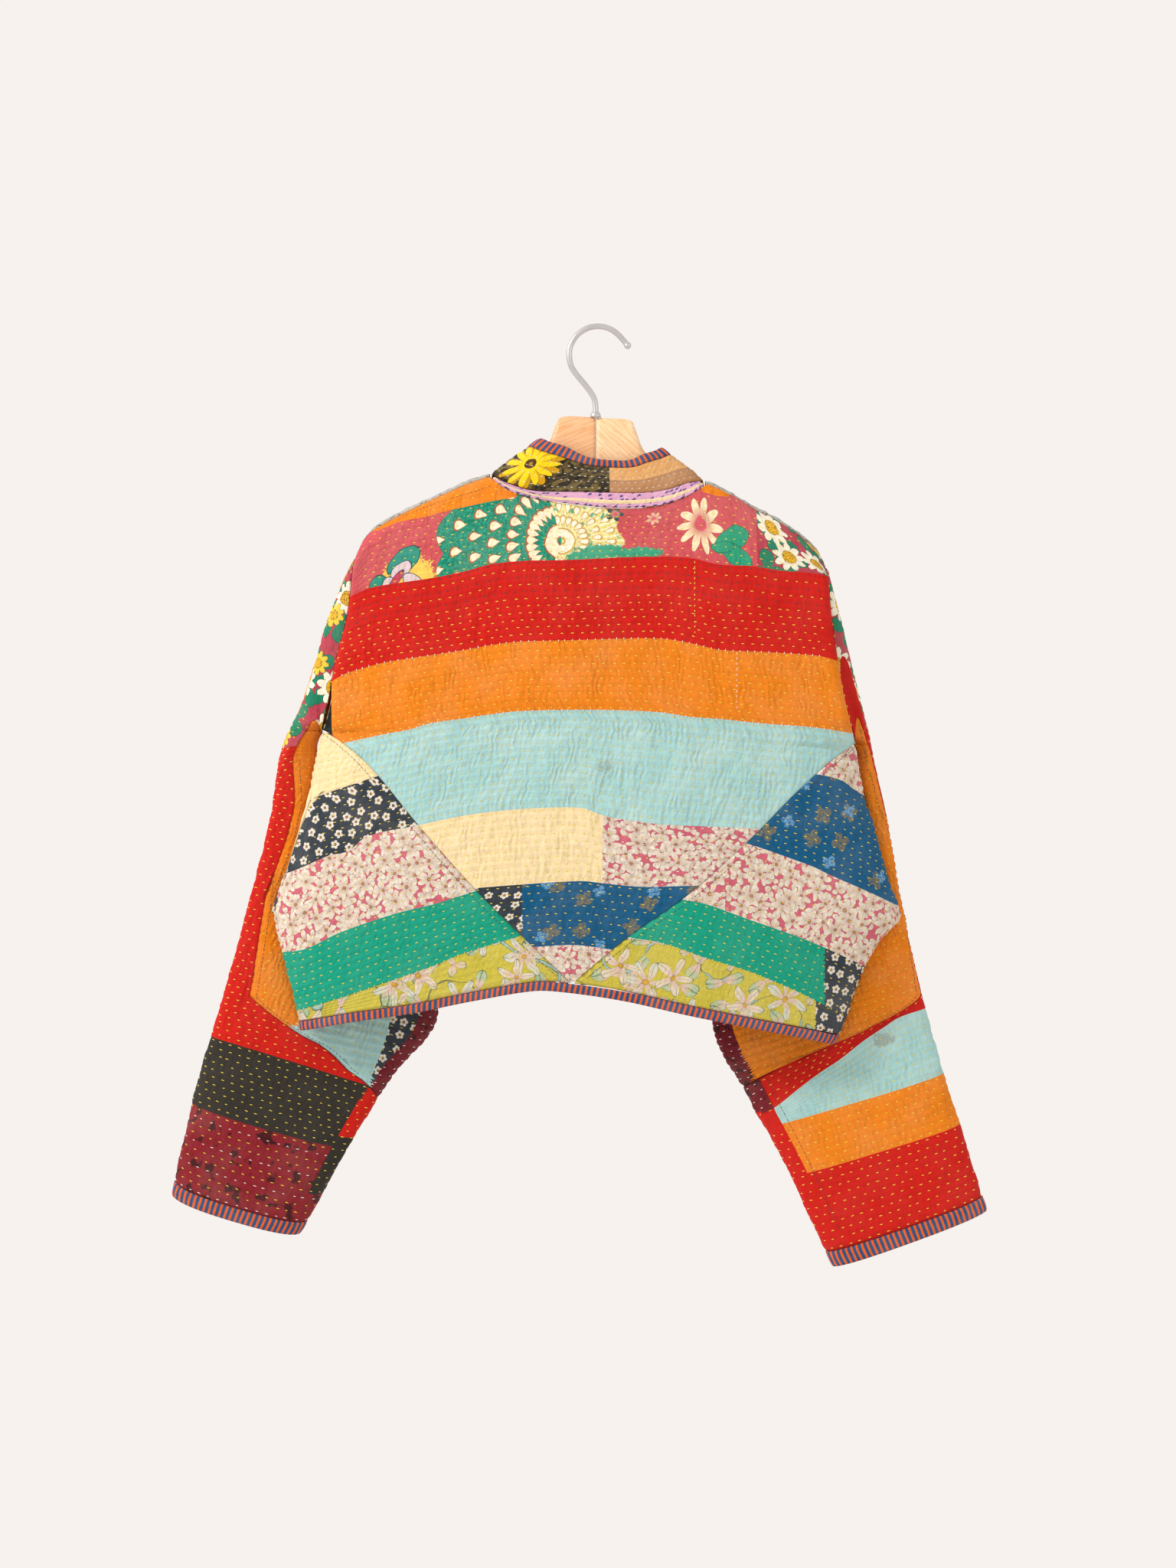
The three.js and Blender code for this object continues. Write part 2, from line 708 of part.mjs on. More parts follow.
// Depth that a sleeve is pushed back at (x, z) so that it hangs clear behind the front
function behindBody(side, x, z, backMost) {
  const below = smooth((underarm[side] + 8 - z) / 18);
  if (below === 0) {
    return 0;
  }
  const outwards = side === 'left' ? -1 : 1;
  const outside = outwards * (x - edgeOf[side](z));
  const nearX = outside > 0 ? edgeOf[side](z) - outwards * 0.5 : x;
  const front = bodyPoint(nearX, z, 1, 0)[1] + pieceRoom - Math.max(0, outside) * 1.2;
  const short = front - backMost;
  return below * (short + Math.hypot(short, 3)) / 2;
}

// Point of a sleeve, moved inwards by inset: angle goes round it from the lower fold over the back side to
// the upper fold at 180 and on over the front side, place runs from the armhole to the cuff
function sleevePoint(side, angle, place, inset) {
  const row = sleeveRow(side, place);
  const ring = ringPoint(row, angle, inset);
  const outer = ringPoint(row, angle, 0);
  const sag = (side === 'left' ? cuff.leftSag : cuff.rightSag) * place ** 4;
  const wave = 1.2 * Math.sin(outer[0] / 19 + outer[2] / 27);
  const waveShare = smooth((place - 0.1) / 0.2) * smooth((0.97 - place) / 0.1);
  const middle = outer[1] + row.half * superSin(angle);
  const backMost = middle - row.half * Math.abs(superSin(angle));
  const push = behindBody(side, outer[0], outer[2], backMost) * smooth(place / 0.08);
  const free = [
    ring[0],
    ring[1] + push - wave * waveShare * superSin(angle),
    ring[2] - sag * Math.abs(superSin(angle)),
  ];
  const seamShare = 1 - smooth(place / 0.16);
  if (seamShare === 0) {
    return free;
  }
  const seam = armholePoint(side, angle, inset);
  const start = ringPoint(sleeveRow(side, 0), angle, inset);
  return free.map((value, k) => value + seamShare * (seam[k] - start[k]));
}

// Point of a flattened ring between the lower and the upper fold of a sleeve
function ringPoint(row, angle, inset) {
  const length = Math.hypot(row.outX - row.inX, row.outZ - row.inZ);
  const reach = (1 - superCos(angle)) / 2;
  const share = mix(inset / length, 1 - inset / length, reach);
  return [
    mix(row.inX, row.outX, share),
    mix(row.inY, row.outY, reach) - (row.half - inset) * superSin(angle),
    mix(row.inZ, row.outZ, share),
  ];
}

// Edge of the body's cloth at the armhole, where the sleeve begins
function armholePoint(side, angle, inset) {
  const top = shoulderEnd[side] - 0.4;
  const low = underarm[side];
  const outwards = side === 'left' ? -1 : 1;
  const facing = Math.sin(angle) >= 0 ? -1 : 1;
  const reach = (1 - superCos(angle)) / 2;
  const outerZ = mix(low, top, reach);
  const z = mix(low + inset, top - inset, reach);
  const depth = bodyPoint(edgeOf[side](outerZ), outerZ, facing, 0)[1];
  return [edgeOf[side](z) + outwards * seamGap / 2, depth * (1 - inset / armholeDepth), z];
}

function gussetReach(side, place, facing) {
  const table = side === 'left' ? leftGusset : rightGusset;
  const radians = Math.PI / 180;
  for (let i = 1; i < table.length; i += 1) {
    if (place <= table[i].along) {
      const a = table[i - 1];
      const b = table[i];
      const share = Math.max(0, (place - a.along) / (b.along - a.along));
      return mix(a[facing], b[facing], share) * radians;
    }
  }
  return 0;
}

function sleevePlaces(side) {
  const table = side === 'left' ? leftGusset : rightGusset;
  const rows = table.map((row) => row.along);
  const all = [0, ...rows, ...sleeveRings[side], cuff.clothEnd];
  return [...new Set(all)].sort((a, b) => a - b);
}

// The angle that half a seam's gap takes up on the sleeve's surface
function halfGapAngle(side, angle, place) {
  const step = 0.02;
  const a = new THREE.Vector3(...sleevePoint(side, angle - step, place, 0));
  const b = new THREE.Vector3(...sleevePoint(side, angle + step, place, 0));
  return seamGap / 2 / (a.distanceTo(b) / (2 * step));
}

function sleeve(side) {
  const table = side === 'left' ? leftGusset : rightGusset;
  const tip = table[table.length - 1].along;
  const places = sleevePlaces(side);
  const closedFrom = places.indexOf(tip);
  const surface = (u, place, inset) => {
    if (place >= tip) {
      return sleevePoint(side, u * 2 * Math.PI, place, inset);
    }
    const back = gussetReach(side, place, 'back');
    const front = gussetReach(side, place, 'front');
    const from = back + halfGapAngle(side, back, place);
    const to = front + halfGapAngle(side, -front, place);
    return sleevePoint(side, mix(from, 2 * Math.PI - to, u), place, inset);
  };
  return wallOf(surface, steps(20), places, [0, cloth], closedFrom);
}

function gusset(side) {
  const table = side === 'left' ? leftGusset : rightGusset;
  const first = table[0].along;
  const tip = table[table.length - 1].along;
  const short = 0.003;
  const ahead = 0.0006;
  const places = sleevePlaces(side).filter((place) => place >= first && place < tip - short);
  places.push(tip - short);
  const surface = (u, place, inset) => {
    const next = Math.min(tip, place + ahead);
    const back = Math.min(gussetReach(side, place, 'back'), gussetReach(side, next, 'back'));
    const front = Math.min(gussetReach(side, place, 'front'), gussetReach(side, next, 'front'));
    const from = halfGapAngle(side, -front, place) - front;
    const to = back - halfGapAngle(side, back, place);
    return sleevePoint(side, mix(from, to, u), place, inset);
  };
  return wallOf(surface, steps(12), places, [0, cloth]);
}

function cuffBinding(side) {
  const surface = (u, place, inset) => sleevePoint(side, u * 2 * Math.PI, place, inset);
  const places = [cuff.clothEnd + seamGap / 400, cuff.bindingEnd];
  return wallOf(surface, steps(24), places, [-bindingRise, cloth + bindingRise], 0);
}

// Collar, its binding and the neck tape

// Point on the collar: share runs from front end to front end, height from the seam (0) to the cloth's
// upper edge (1) and on over the binding, inset moves it towards the neck
function collarPoint(share, height, inset) {
  const at = (s, h) => new THREE.Vector3(
    mix(spread(collar, 'lowX', s), spread(collar, 'highX', s), h),
    mix(spread(collar, 'lowY', s), spread(collar, 'highY', s), h),
    mix(spread(collar, 'lowZ', s), spread(collar, 'highZ', s), h),
  );
  const small = 0.004;
  const sideways = at(share + small, height).sub(at(share - small, height));
  const upwards = at(share, 1).sub(at(share, 0));
  const normal = sideways.cross(upwards).normalize();
  const place = at(share, height).addScaledVector(normal, -inset);
  return place.toArray();
}

function collarBand() {
  return wallOf(collarPoint, steps(40), [0.012, 0.35, 0.68, 1], [0, cloth]);
}

function collarBinding() {
  const heights = [1 + seamGap / 30, 1 + collarBindingShare];
  return wallOf(collarPoint, steps(40), heights, [-bindingRise, cloth + bindingRise]);
}

// The tape fills the crescent between the collar's seam and the back's neck seam
function neckTape() {
  const ends = { left: 5.9 / 19, right: 13.1 / 19 };
  const surface = (u, v, inset) => {
    const share = mix(tapeTip, 1 - tapeTip, u);
    const x = mix(-95, 96, share);
    const low = bodyPoint(x, read(backNeck, 'x', 'z', x) + 2 * seamGap, -1, inset);
    const high = collarPoint(mix(ends.left, ends.right, share), -0.012, inset);
    return low.map((value, i) => mix(value, high[i], v));
  };
  return wallOf(surface, steps(26), steps(2), [0, cloth]);
}

// Bindings of hem and front edges

function hemPlace(angle, height) {
  const side = Math.cos(angle) >= 0 ? -1 : 1;
  const table = side < 0 ? backHem : frontHem;
  const drop = mix(2.3 * seamGap, bindingHeight, height);
  const share = (1 - superCos(angle + Math.PI / 2)) / 2;
  const left = edgeOf.left(hemFold.left - drop);
  const right = edgeOf.right(hemFold.right - drop);
  const x = mix(left, right, share);
  const cut = mix(table[0].x, table[table.length - 1].x, share);
  return { x, z: hemHeight(table, cut) - drop, side };
}

// The angle round the hem at which the front part reaches x
function hemAngle(x) {
  const left = edgeOf.left(hemFold.left);
  const right = edgeOf.right(hemFold.right);
  const share = (x - left) / (right - left);
  const level = 2 * share - 1;
  const tilt = Math.asin(Math.sign(level) * Math.abs(level) ** (boxiness / 2));
  return Math.PI - tilt;
}

function hemBinding() {
  const centre = read(frontCentre, 'z', 'x', -580);
  const open = frontOpening + hemBindingRoom;
  const from = hemAngle(centre - open) - 2 * Math.PI;
  const to = hemAngle(centre + open);
  const between = steps(72, -Math.PI, Math.PI).filter((turn) => turn > from + 0.03 && turn < to - 0.03);
  const surface = (turn, height, inset) => {
    const place = hemPlace(turn, height);
    return bodyPoint(place.x, place.z, place.side, inset);
  };
  return wallOf(surface, [from, ...between, to], [0, 1], [-bindingRise, cloth + bindingRise]);
}

function frontBinding(side) {
  const inwards = side === 'left' ? 1 : -1;
  const top = -205.5;
  const low = -584;
  const surface = (u, v, inset) => {
    const z = mix(top, low, v);
    const centre = read(frontCentre, 'z', 'x', z);
    const distance = mix(frontOpening - seamGap, frontOpening - bindingHeight, u);
    return bodyPoint(centre - inwards * distance, z, 1, inset);
  };
  return wallOf(surface, steps(1), steps(18), [-bindingRise, cloth + bindingRise]);
}

// Hanger

// Solid through closed sections in planes across X, with rounded corners
function hangerArm(table) {
  const corners = 16;
  const rings = steps(18).map((place) => {
    const x = spread(table, 'x', place);
    const top = spread(table, 'top', place);
    const bottom = spread(table, 'bottom', place);
    const half = spread(table, 'half', place);
    return Array.from({ length: corners }, (_, i) => {
      const angle = (i + 0.5) / corners * 2 * Math.PI;
      const z = mix(bottom, top, (1 + superSin(angle)) / 2);
      return [x, half * superCos(angle), z];
    });
  });
  const position = rings.flat(2);
  const index = [];
  for (let j = 0; j < rings.length - 1; j += 1) {
    for (let i = 0; i < corners; i += 1) {
      const a = j * corners + i;
      const b = j * corners + (i + 1) % corners;
      index.push(a, b, b + corners, a, b + corners, a + corners);
    }
  }
  const last = (rings.length - 1) * corners;
  for (let i = 1; i < corners - 1; i += 1) {
    index.push(0, i + 1, i);
    index.push(last, last + i, last + i + 1);
  }
  return outward(position, index);
}

function solid(geometry) {
  const bare = geometry.clone();
  bare.deleteAttribute('normal');
  bare.deleteAttribute('uv');
  const merged = mergeVertices(bare, 1e-4);
  const vertProperties = new Float32Array(merged.attributes.position.array);
  const triVerts = new Uint32Array(merged.index.array);
  return new wasm.Manifold(new wasm.Mesh({ numProp: 3, vertProperties, triVerts }));
}

function geometryOf(body) {
  const mesh = body.getMesh();
  const geometry = new THREE.BufferGeometry();
  geometry.setAttribute('position', new THREE.Float32BufferAttribute(mesh.vertProperties, 3));
  geometry.setIndex([...mesh.triVerts]);
  return geometry;
}

// Bent wire with a ball at its tip and a small collar where it enters the wood
function hangerHook() {
  const centreZ = hook.wire - hook.bend;
  const points = hookShank.map((row) => new THREE.Vector3(row.x, 0, row.z));
  for (const degrees of steps(7, 172, 42)) {
    const angle = degrees * Math.PI / 180;
    points.push(new THREE.Vector3(hook.bend * Math.cos(angle), 0, centreZ + hook.bend * Math.sin(angle)));
  }
  const tip = new THREE.Vector3(hook.tipX, 0, hook.tipZ);
  points.push(tip);
  const section = new THREE.Shape();
  section.absarc(0, 0, hook.wire, 0, 2 * Math.PI, false);
  const wire = new THREE.ExtrudeGeometry(section, {
    steps: 40,
    curveSegments: 5,
    bevelEnabled: false,
    extrudePath: new THREE.CatmullRomCurve3(points),
  });
  const ball = new THREE.SphereGeometry(hook.ball, 12, 8);
  ball.translate(tip.x, tip.y, tip.z);
  const collarRing = new THREE.CylinderGeometry(hook.collarTop, hook.collarRadius, hook.collarHeight, 16);
  collarRing.rotateX(Math.PI / 2);
  collarRing.translate(hookShank[0].x, 0, hook.collarFoot + hook.collarHeight / 2);
  return geometryOf(solid(wire).add(solid(ball)).add(solid(collarRing)));
}

// Assembly

const group = new THREE.Group();

function addPiece(name, geometry, material, parent) {
  const mesh = new THREE.Mesh(geometry, material);
  mesh.name = name;
  parent.add(mesh);
}

const jacket = new THREE.Group();
const hanger = new THREE.Group();
group.add(jacket, hanger);

addPiece('back_panel', backPanel(), clothMaterial(colours.back), jacket);
for (const side of ['left', 'right']) {
  addPiece(`back_side_${side}`, sidePiece(side), clothMaterial(colours.side), jacket);
  addPiece(`front_${side}`, frontPanel(side), clothMaterial(colours.front), jacket);
  addPiece(`sleeve_${side}`, sleeve(side), clothMaterial(colours.sleeve), jacket);
  addPiece(`underarm_gusset_${side}`, gusset(side), clothMaterial(colours.gusset), jacket);
  addPiece(`cuff_binding_${side}`, cuffBinding(side), clothMaterial(colours.binding), jacket);
  addPiece(`front_binding_${side}`, frontBinding(side), clothMaterial(colours.binding), jacket);
}
addPiece('collar', collarBand(), clothMaterial(colours.collar), jacket);
addPiece('collar_binding', collarBinding(), clothMaterial(colours.binding), jacket);
addPiece('neck_tape', neckTape(), clothMaterial(colours.tape), jacket);
addPiece('hem_binding', hemBinding(), clothMaterial(colours.binding), jacket);

addPiece('hanger_arm_left', hangerArm(leftArm), woodMaterial, hanger);
addPiece('hanger_arm_right', hangerArm(rightArm), woodMaterial, hanger);
addPiece('hanger_hook', hangerHook(), metalMaterial, hanger);

export default group;
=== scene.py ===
import bmesh
import bpy
import numpy as np
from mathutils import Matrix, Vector


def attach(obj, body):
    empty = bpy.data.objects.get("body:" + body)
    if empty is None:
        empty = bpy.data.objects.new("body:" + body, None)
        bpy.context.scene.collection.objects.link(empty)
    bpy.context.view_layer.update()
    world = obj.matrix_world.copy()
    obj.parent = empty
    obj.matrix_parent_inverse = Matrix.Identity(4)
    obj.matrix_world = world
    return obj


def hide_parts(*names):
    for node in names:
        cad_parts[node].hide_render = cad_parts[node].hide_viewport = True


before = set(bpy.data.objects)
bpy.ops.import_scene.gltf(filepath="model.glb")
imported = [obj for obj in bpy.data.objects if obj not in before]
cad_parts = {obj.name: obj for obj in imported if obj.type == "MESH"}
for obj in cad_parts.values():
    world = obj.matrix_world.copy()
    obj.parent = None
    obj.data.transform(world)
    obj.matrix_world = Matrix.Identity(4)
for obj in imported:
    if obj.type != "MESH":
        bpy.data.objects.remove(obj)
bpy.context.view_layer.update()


# Back panel: one large piece of patchwork quilt, square at the shoulders and cut to a point at the hem. Its
# strips run across the back, with hand stitches in rows of yellow thread, and it is sewn to the shoulders,
# sleeves and side pieces with plain seams.

# Sizes of the jacket and its hanger are in millimetres, and their meshes are made in metres
CLOTH = 2.4
GAP = 0.3


def curve(rows, calm=False):
    """Smooth curve through rows of (key, value), carried on in straight lines past its ends."""
    keys, values = np.array(sorted(rows), float).T
    steep = np.diff(values) / np.diff(keys)
    slopes = np.empty(len(keys))
    slopes[0], slopes[-1] = steep[0], steep[-1]
    slopes[1:-1] = (values[2:] - values[:-2]) / (keys[2:] - keys[:-2])
    if calm:
        same = steep[:-1] * steep[1:] > 0
        total = np.where(same, steep[:-1] + steep[1:], 1)
        slopes[1:-1] = np.where(same, 2 * steep[:-1] * steep[1:] / total, 0)

    def at(key):
        key = np.asarray(key, float)
        i = np.clip(np.searchsorted(keys, key) - 1, 0, len(keys) - 2)
        step = keys[i + 1] - keys[i]
        t = np.clip((key - keys[i]) / step, 0, 1)
        over = key - keys[i] - t * step
        value = (2 * t**3 - 3 * t**2 + 1) * values[i] + (t**3 - 2 * t**2 + t) * step * slopes[i]
        value = value + (3 * t**2 - 2 * t**3) * values[i + 1] + (t**3 - t**2) * step * slopes[i + 1]
        return value + over * np.where(over < 0, slopes[i], slopes[i + 1])

    return at


def mix(a, b, share):
    return a + (b - a) * share


def smooth(value):
    share = np.clip(value, 0, 1)
    return share * share * (3 - 2 * share)


# The cloth hangs from the hanger's arms as a flattened tube, closed at its two side folds
left_edge = curve([
    (-150, -213), (-203, -216), (-252, -221), (-292, -231), (-337, -240), (-357, -245), (-405, -255),
    (-452, -267), (-485, -278), (-513, -288), (-525, -287), (-551, -281), (-604, -267), (-640, -262),
])
right_edge = curve([
    (-150, 201), (-212, 203), (-252, 206), (-296, 212), (-333, 219), (-369, 228), (-415, 236), (-442, 245),
    (-495, 260), (-517, 268), (-526, 267), (-541, 251), (-588, 228), (-616, 219), (-645, 204),
])
EDGE = {"left": left_edge, "right": right_edge}
ridge = curve([
    (-300, -306), (-216, -203), (-205, -182), (-191, -171), (-150, -150), (-96, -128), (0, -112),
    (95, -134), (142, -159), (173, -177), (194, -195), (203, -212), (290, -330),
])
back_fullness = curve([(-110, 20), (-160, 25), (-230, 33), (-330, 38), (-450, 41), (-560, 39), (-645, 36)])
front_fullness = curve([(-110, 18), (-160, 22), (-230, 25), (-330, 27), (-450, 28), (-560, 28), (-645, 27)])
UNDERARM = {"left": -357, "right": -369}
SHOULDER_END = {"left": -203, "right": -212}
OUTWARDS = {"left": -1, "right": 1}
RIDGE_ROUND = 16.0
ARMHOLE_DEPTH = 21.0
FOLD_DEPTH = 3.6


def body_point(x, z, facing, inset=0.0):
    """Point of the jacket's body over (x, z), on the back (facing -1) or front (1)."""
    x, z, facing = np.broadcast_arrays(np.asarray(x, float), np.asarray(z, float), facing)
    left, right = left_edge(z), right_edge(z)
    place = np.clip((x - (left + right) / 2) / ((right - left) / 2), -1, 1)
    bulge = (1 - np.abs(place) ** 2.5) ** 0.4
    on_left = place < 0
    low = np.where(on_left, UNDERARM["left"], UNDERARM["right"])
    top = np.where(on_left, SHOULDER_END["left"], SHOULDER_END["right"])
    share = (top - z) / (top - low)
    closing = np.clip((share - 0.8) / 0.2, 0, 1)
    at_edge = np.where(share >= 1, 0, mix(FOLD_DEPTH, ARMHOLE_DEPTH, np.sqrt(1 - closing**2)))
    reach = np.abs(place) ** 3
    deepest = np.where(facing < 0, back_fullness(z), front_fullness(z))
    waves = 1.3 * np.sin(x / 23 + z / 41) * np.sin(z / 37 - 0.8) + 1.6 * np.sin((x + 0.55 * z) / 31 + 1.1)
    drop = ridge(x) - z
    depth = at_edge * reach + (deepest - at_edge * reach) * bulge
    depth = depth + waves * (1 - reach) * smooth((drop - 20) / 60)
    over = np.clip(1 - drop / RIDGE_ROUND, 0, 1)
    inward = 1 - (1 - np.minimum(1, depth / 14)) ** 2
    return np.stack([
        x - inset * place**3 * (z < low),
        facing * (depth - inset * inward) * np.sqrt(1 - over**2),
        z - inset * over,
    ], -1)


def both_faces(surface, *place):
    """Outer and inner grid of points of a cloth on a surface."""
    return surface(*place), surface(*place, CLOTH)


STITCH_ROW = 6.3
FINE_ROW = STITCH_ROW / 3


def unevenness(seed):
    """Smooth random field between -1 and 1, whose waves are about one unit long."""
    size = 128
    table = np.random.default_rng(seed).uniform(-1, 1, (size, size))

    def at(x, y):
        i, j = np.floor(x).astype(int), np.floor(y).astype(int)
        s, t = smooth(x - i), smooth(y - j)
        i, j = i % size, j % size
        ii, jj = (i + 1) % size, (j + 1) % size
        return mix(mix(table[i, j], table[ii, j], s), mix(table[i, jj], table[ii, jj], s), t)

    return at


def crossing(miss, low, high):
    """Where a growing function of a whole row's unknown passes through zero."""
    for _ in range(30):
        middle = (low + high) / 2
        before = miss(middle) < 0
        low, high = np.where(before, middle, low), np.where(before, high, middle)
    return (low + high) / 2


def rows_between(borders, heights):
    """Rows lofted between strip borders: (strip, share, is_stitch_row) for each row."""
    rows = []
    for strip, height in enumerate(heights):
        count = max(2, round(height / FINE_ROW))
        rows += [(strip, k / count, k % 3 == 1) for k in range(count)]
    rows.append((len(heights) - 1, 1.0, False))
    return rows


def snap(row, targets):
    """Moves the nearest column of a row onto each target inside it."""
    for target in targets:
        if row.min() < target < row.max():
            nearest = np.abs(row[1:-1] - target).argmin() + 1
            row[nearest] = target
    return row


def lay_flat(points, middle):
    """Distances along and down a cloth's grid, counted from a middle column and the top row."""
    steps = np.linalg.norm(np.diff(points, axis=1), axis=2)
    across = np.concatenate([np.zeros((len(points), 1)), np.cumsum(steps, axis=1)], axis=1)
    across = across - across[:, [middle]]
    falls = np.linalg.norm(np.diff(points, axis=0), axis=2).mean(axis=1)
    down = np.concatenate([[0], np.cumsum(falls)])
    return across, np.repeat(down[:, None], points.shape[1], axis=1)


def outward_of(outer, inner):
    """Unit directions square to the outer grid, pointing away from the inner one."""
    normal = np.cross(np.gradient(outer, axis=1), np.gradient(outer, axis=0))
    normal /= np.maximum(np.linalg.norm(normal, axis=2, keepdims=True), 1e-9)
    way = np.sign((normal * (outer - inner)).sum())
    return normal * way


def quilted(outer, inner, across, down, pressed, seed, closed=False, puckers=1.0):
    """The outer grid with channels at the stitch lines, puckers between them and flattened seams."""
    short, long = unevenness(seed), unevenness(seed + 50)
    rise = 0.55 * puckers * short(across / 4.2, down / 12) + 0.55 * long(across / 19, down / 24)
    rise = rise + 0.4 * puckers * short(across / 2.8 + 40, down / 3.4 + 40)
    rise = rise + 0.25 - 0.8 * pressed
    edge = np.zeros(rise.shape)
    for depth, k in ((0.75, 0), (0.3, 1)):
        edge[k], edge[-1 - k] = depth, depth
        if not closed:
            edge[:, k], edge[:, -1 - k] = np.maximum(edge[:, k], depth), np.maximum(edge[:, -1 - k], depth)
    return outer + outward_of(outer, inner) * (np.clip(rise, -1.3, 1.2) * (1 - edge) - edge)[..., None]


def make_cloth(name, outer, inner, across, down, patch, finishes, closed_from=None):
    """Closed mesh of one cloth piece. patch numbers the finish of each cell of the grid; from the row
    closed_from on, the first and last columns are the same cloth."""
    rows, columns = across.shape
    closed_from = rows if closed_from is None else closed_from
    ids = np.arange(rows * columns).reshape(rows, columns)
    ids[closed_from:, -1] = ids[closed_from:, 0]
    o, n = ids, ids + rows * columns
    corners = np.arange(rows * columns).reshape(rows, columns)
    cells = [o[:-1, :-1], o[1:, :-1], o[1:, 1:], o[:-1, 1:]]
    flats = [corners[:-1, :-1], corners[1:, :-1], corners[1:, 1:], corners[:-1, 1:]]
    faces = [np.stack(cells, -1).reshape(-1, 4), np.stack(cells[::-1], -1).reshape(-1, 4) + rows * columns]
    spots = [np.stack(flats, -1).reshape(-1, 4), np.stack(flats[::-1], -1).reshape(-1, 4)]
    kinds = [patch.ravel(), patch.ravel()]

    def rim(a, kind):
        faces.append(np.stack([o.ravel()[a[:-1]], n.ravel()[a[:-1]], n.ravel()[a[1:]], o.ravel()[a[1:]]], -1))
        spots.append(np.stack([a[:-1], a[:-1], a[1:], a[1:]], -1))
        kinds.append(kind)

    open_rows = min(closed_from, rows - 1)
    rim(corners[: open_rows + 1, 0], patch[:open_rows, 0])
    rim(corners[: open_rows + 1, -1][::-1], patch[:open_rows, -1][::-1])
    rim(corners[0][::-1], patch[0][::-1])
    rim(corners[-1], patch[-1])
    faces, spots, kinds = np.concatenate(faces), np.concatenate(spots), np.concatenate(kinds)
    points = np.concatenate([outer.reshape(-1, 3), inner.reshape(-1, 3)]) * 0.001
    used, faces = np.unique(faces, return_inverse=True)
    faces = faces.reshape(-1, 4)
    points = points[used]
    a, b, c, d = (points[faces[:, k]] for k in range(4))
    volume = (np.cross(a, b) * c).sum() + (np.cross(a, c) * d).sum()
    if volume < 0:
        faces, spots = faces[:, ::-1], spots[:, ::-1]
    mesh = bpy.data.meshes.new(name)
    mesh.from_pydata(points.tolist(), [], faces.tolist())
    mesh.polygons.foreach_set("material_index", kinds.astype(np.int32))
    mesh.polygons.foreach_set("use_smooth", np.ones(len(faces), bool))
    flat = mesh.uv_layers.new(name="cloth")
    places = np.stack([across.ravel(), -down.ravel()], -1)[spots.ravel()] * 0.001
    flat.data.foreach_set("uv", places.ravel())
    for finish in finishes:
        mesh.materials.append(finish)
    mesh.update()
    piece = bpy.data.objects.new(name, mesh)
    bpy.context.scene.collection.objects.link(piece)
    return piece


panels = {}


def quilt(name, faces, spread, pressed, seed, patches, finishes, stitched, open_rows=None, puckers=1.0):
    """Makes a quilted panel and keeps it for the hand sewing. Where open_rows is given the panel is a tube
    that is open along that many of its first rows."""
    outer, inner = faces
    raised = quilted(outer, inner, *spread, pressed, seed, open_rows is not None, puckers)
    if open_rows is not None:
        raised[:open_rows, 0], raised[:open_rows, -1] = outer[:open_rows, 0], outer[:open_rows, -1]
        raised[open_rows:, -1] = raised[open_rows:, 0]
    panels[name] = (raised, inner, patches, stitched)
    return make_cloth(name + "_cloth", raised, inner, *spread, patches, finishes, open_rows)


def fix_cloth(piece, node):
    """Fixes a cloth piece to the jacket in place of its plain solid."""
    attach(piece, "root")
    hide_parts(node)


def dye(code):
    """Linear colour of a six-digit code."""
    parts = [int(code[k : k + 2], 16) / 255 for k in (0, 2, 4)]
    return tuple(c / 12.92 if c <= 0.04045 else ((c + 0.055) / 1.055) ** 2.4 for c in parts) + (1.0,)


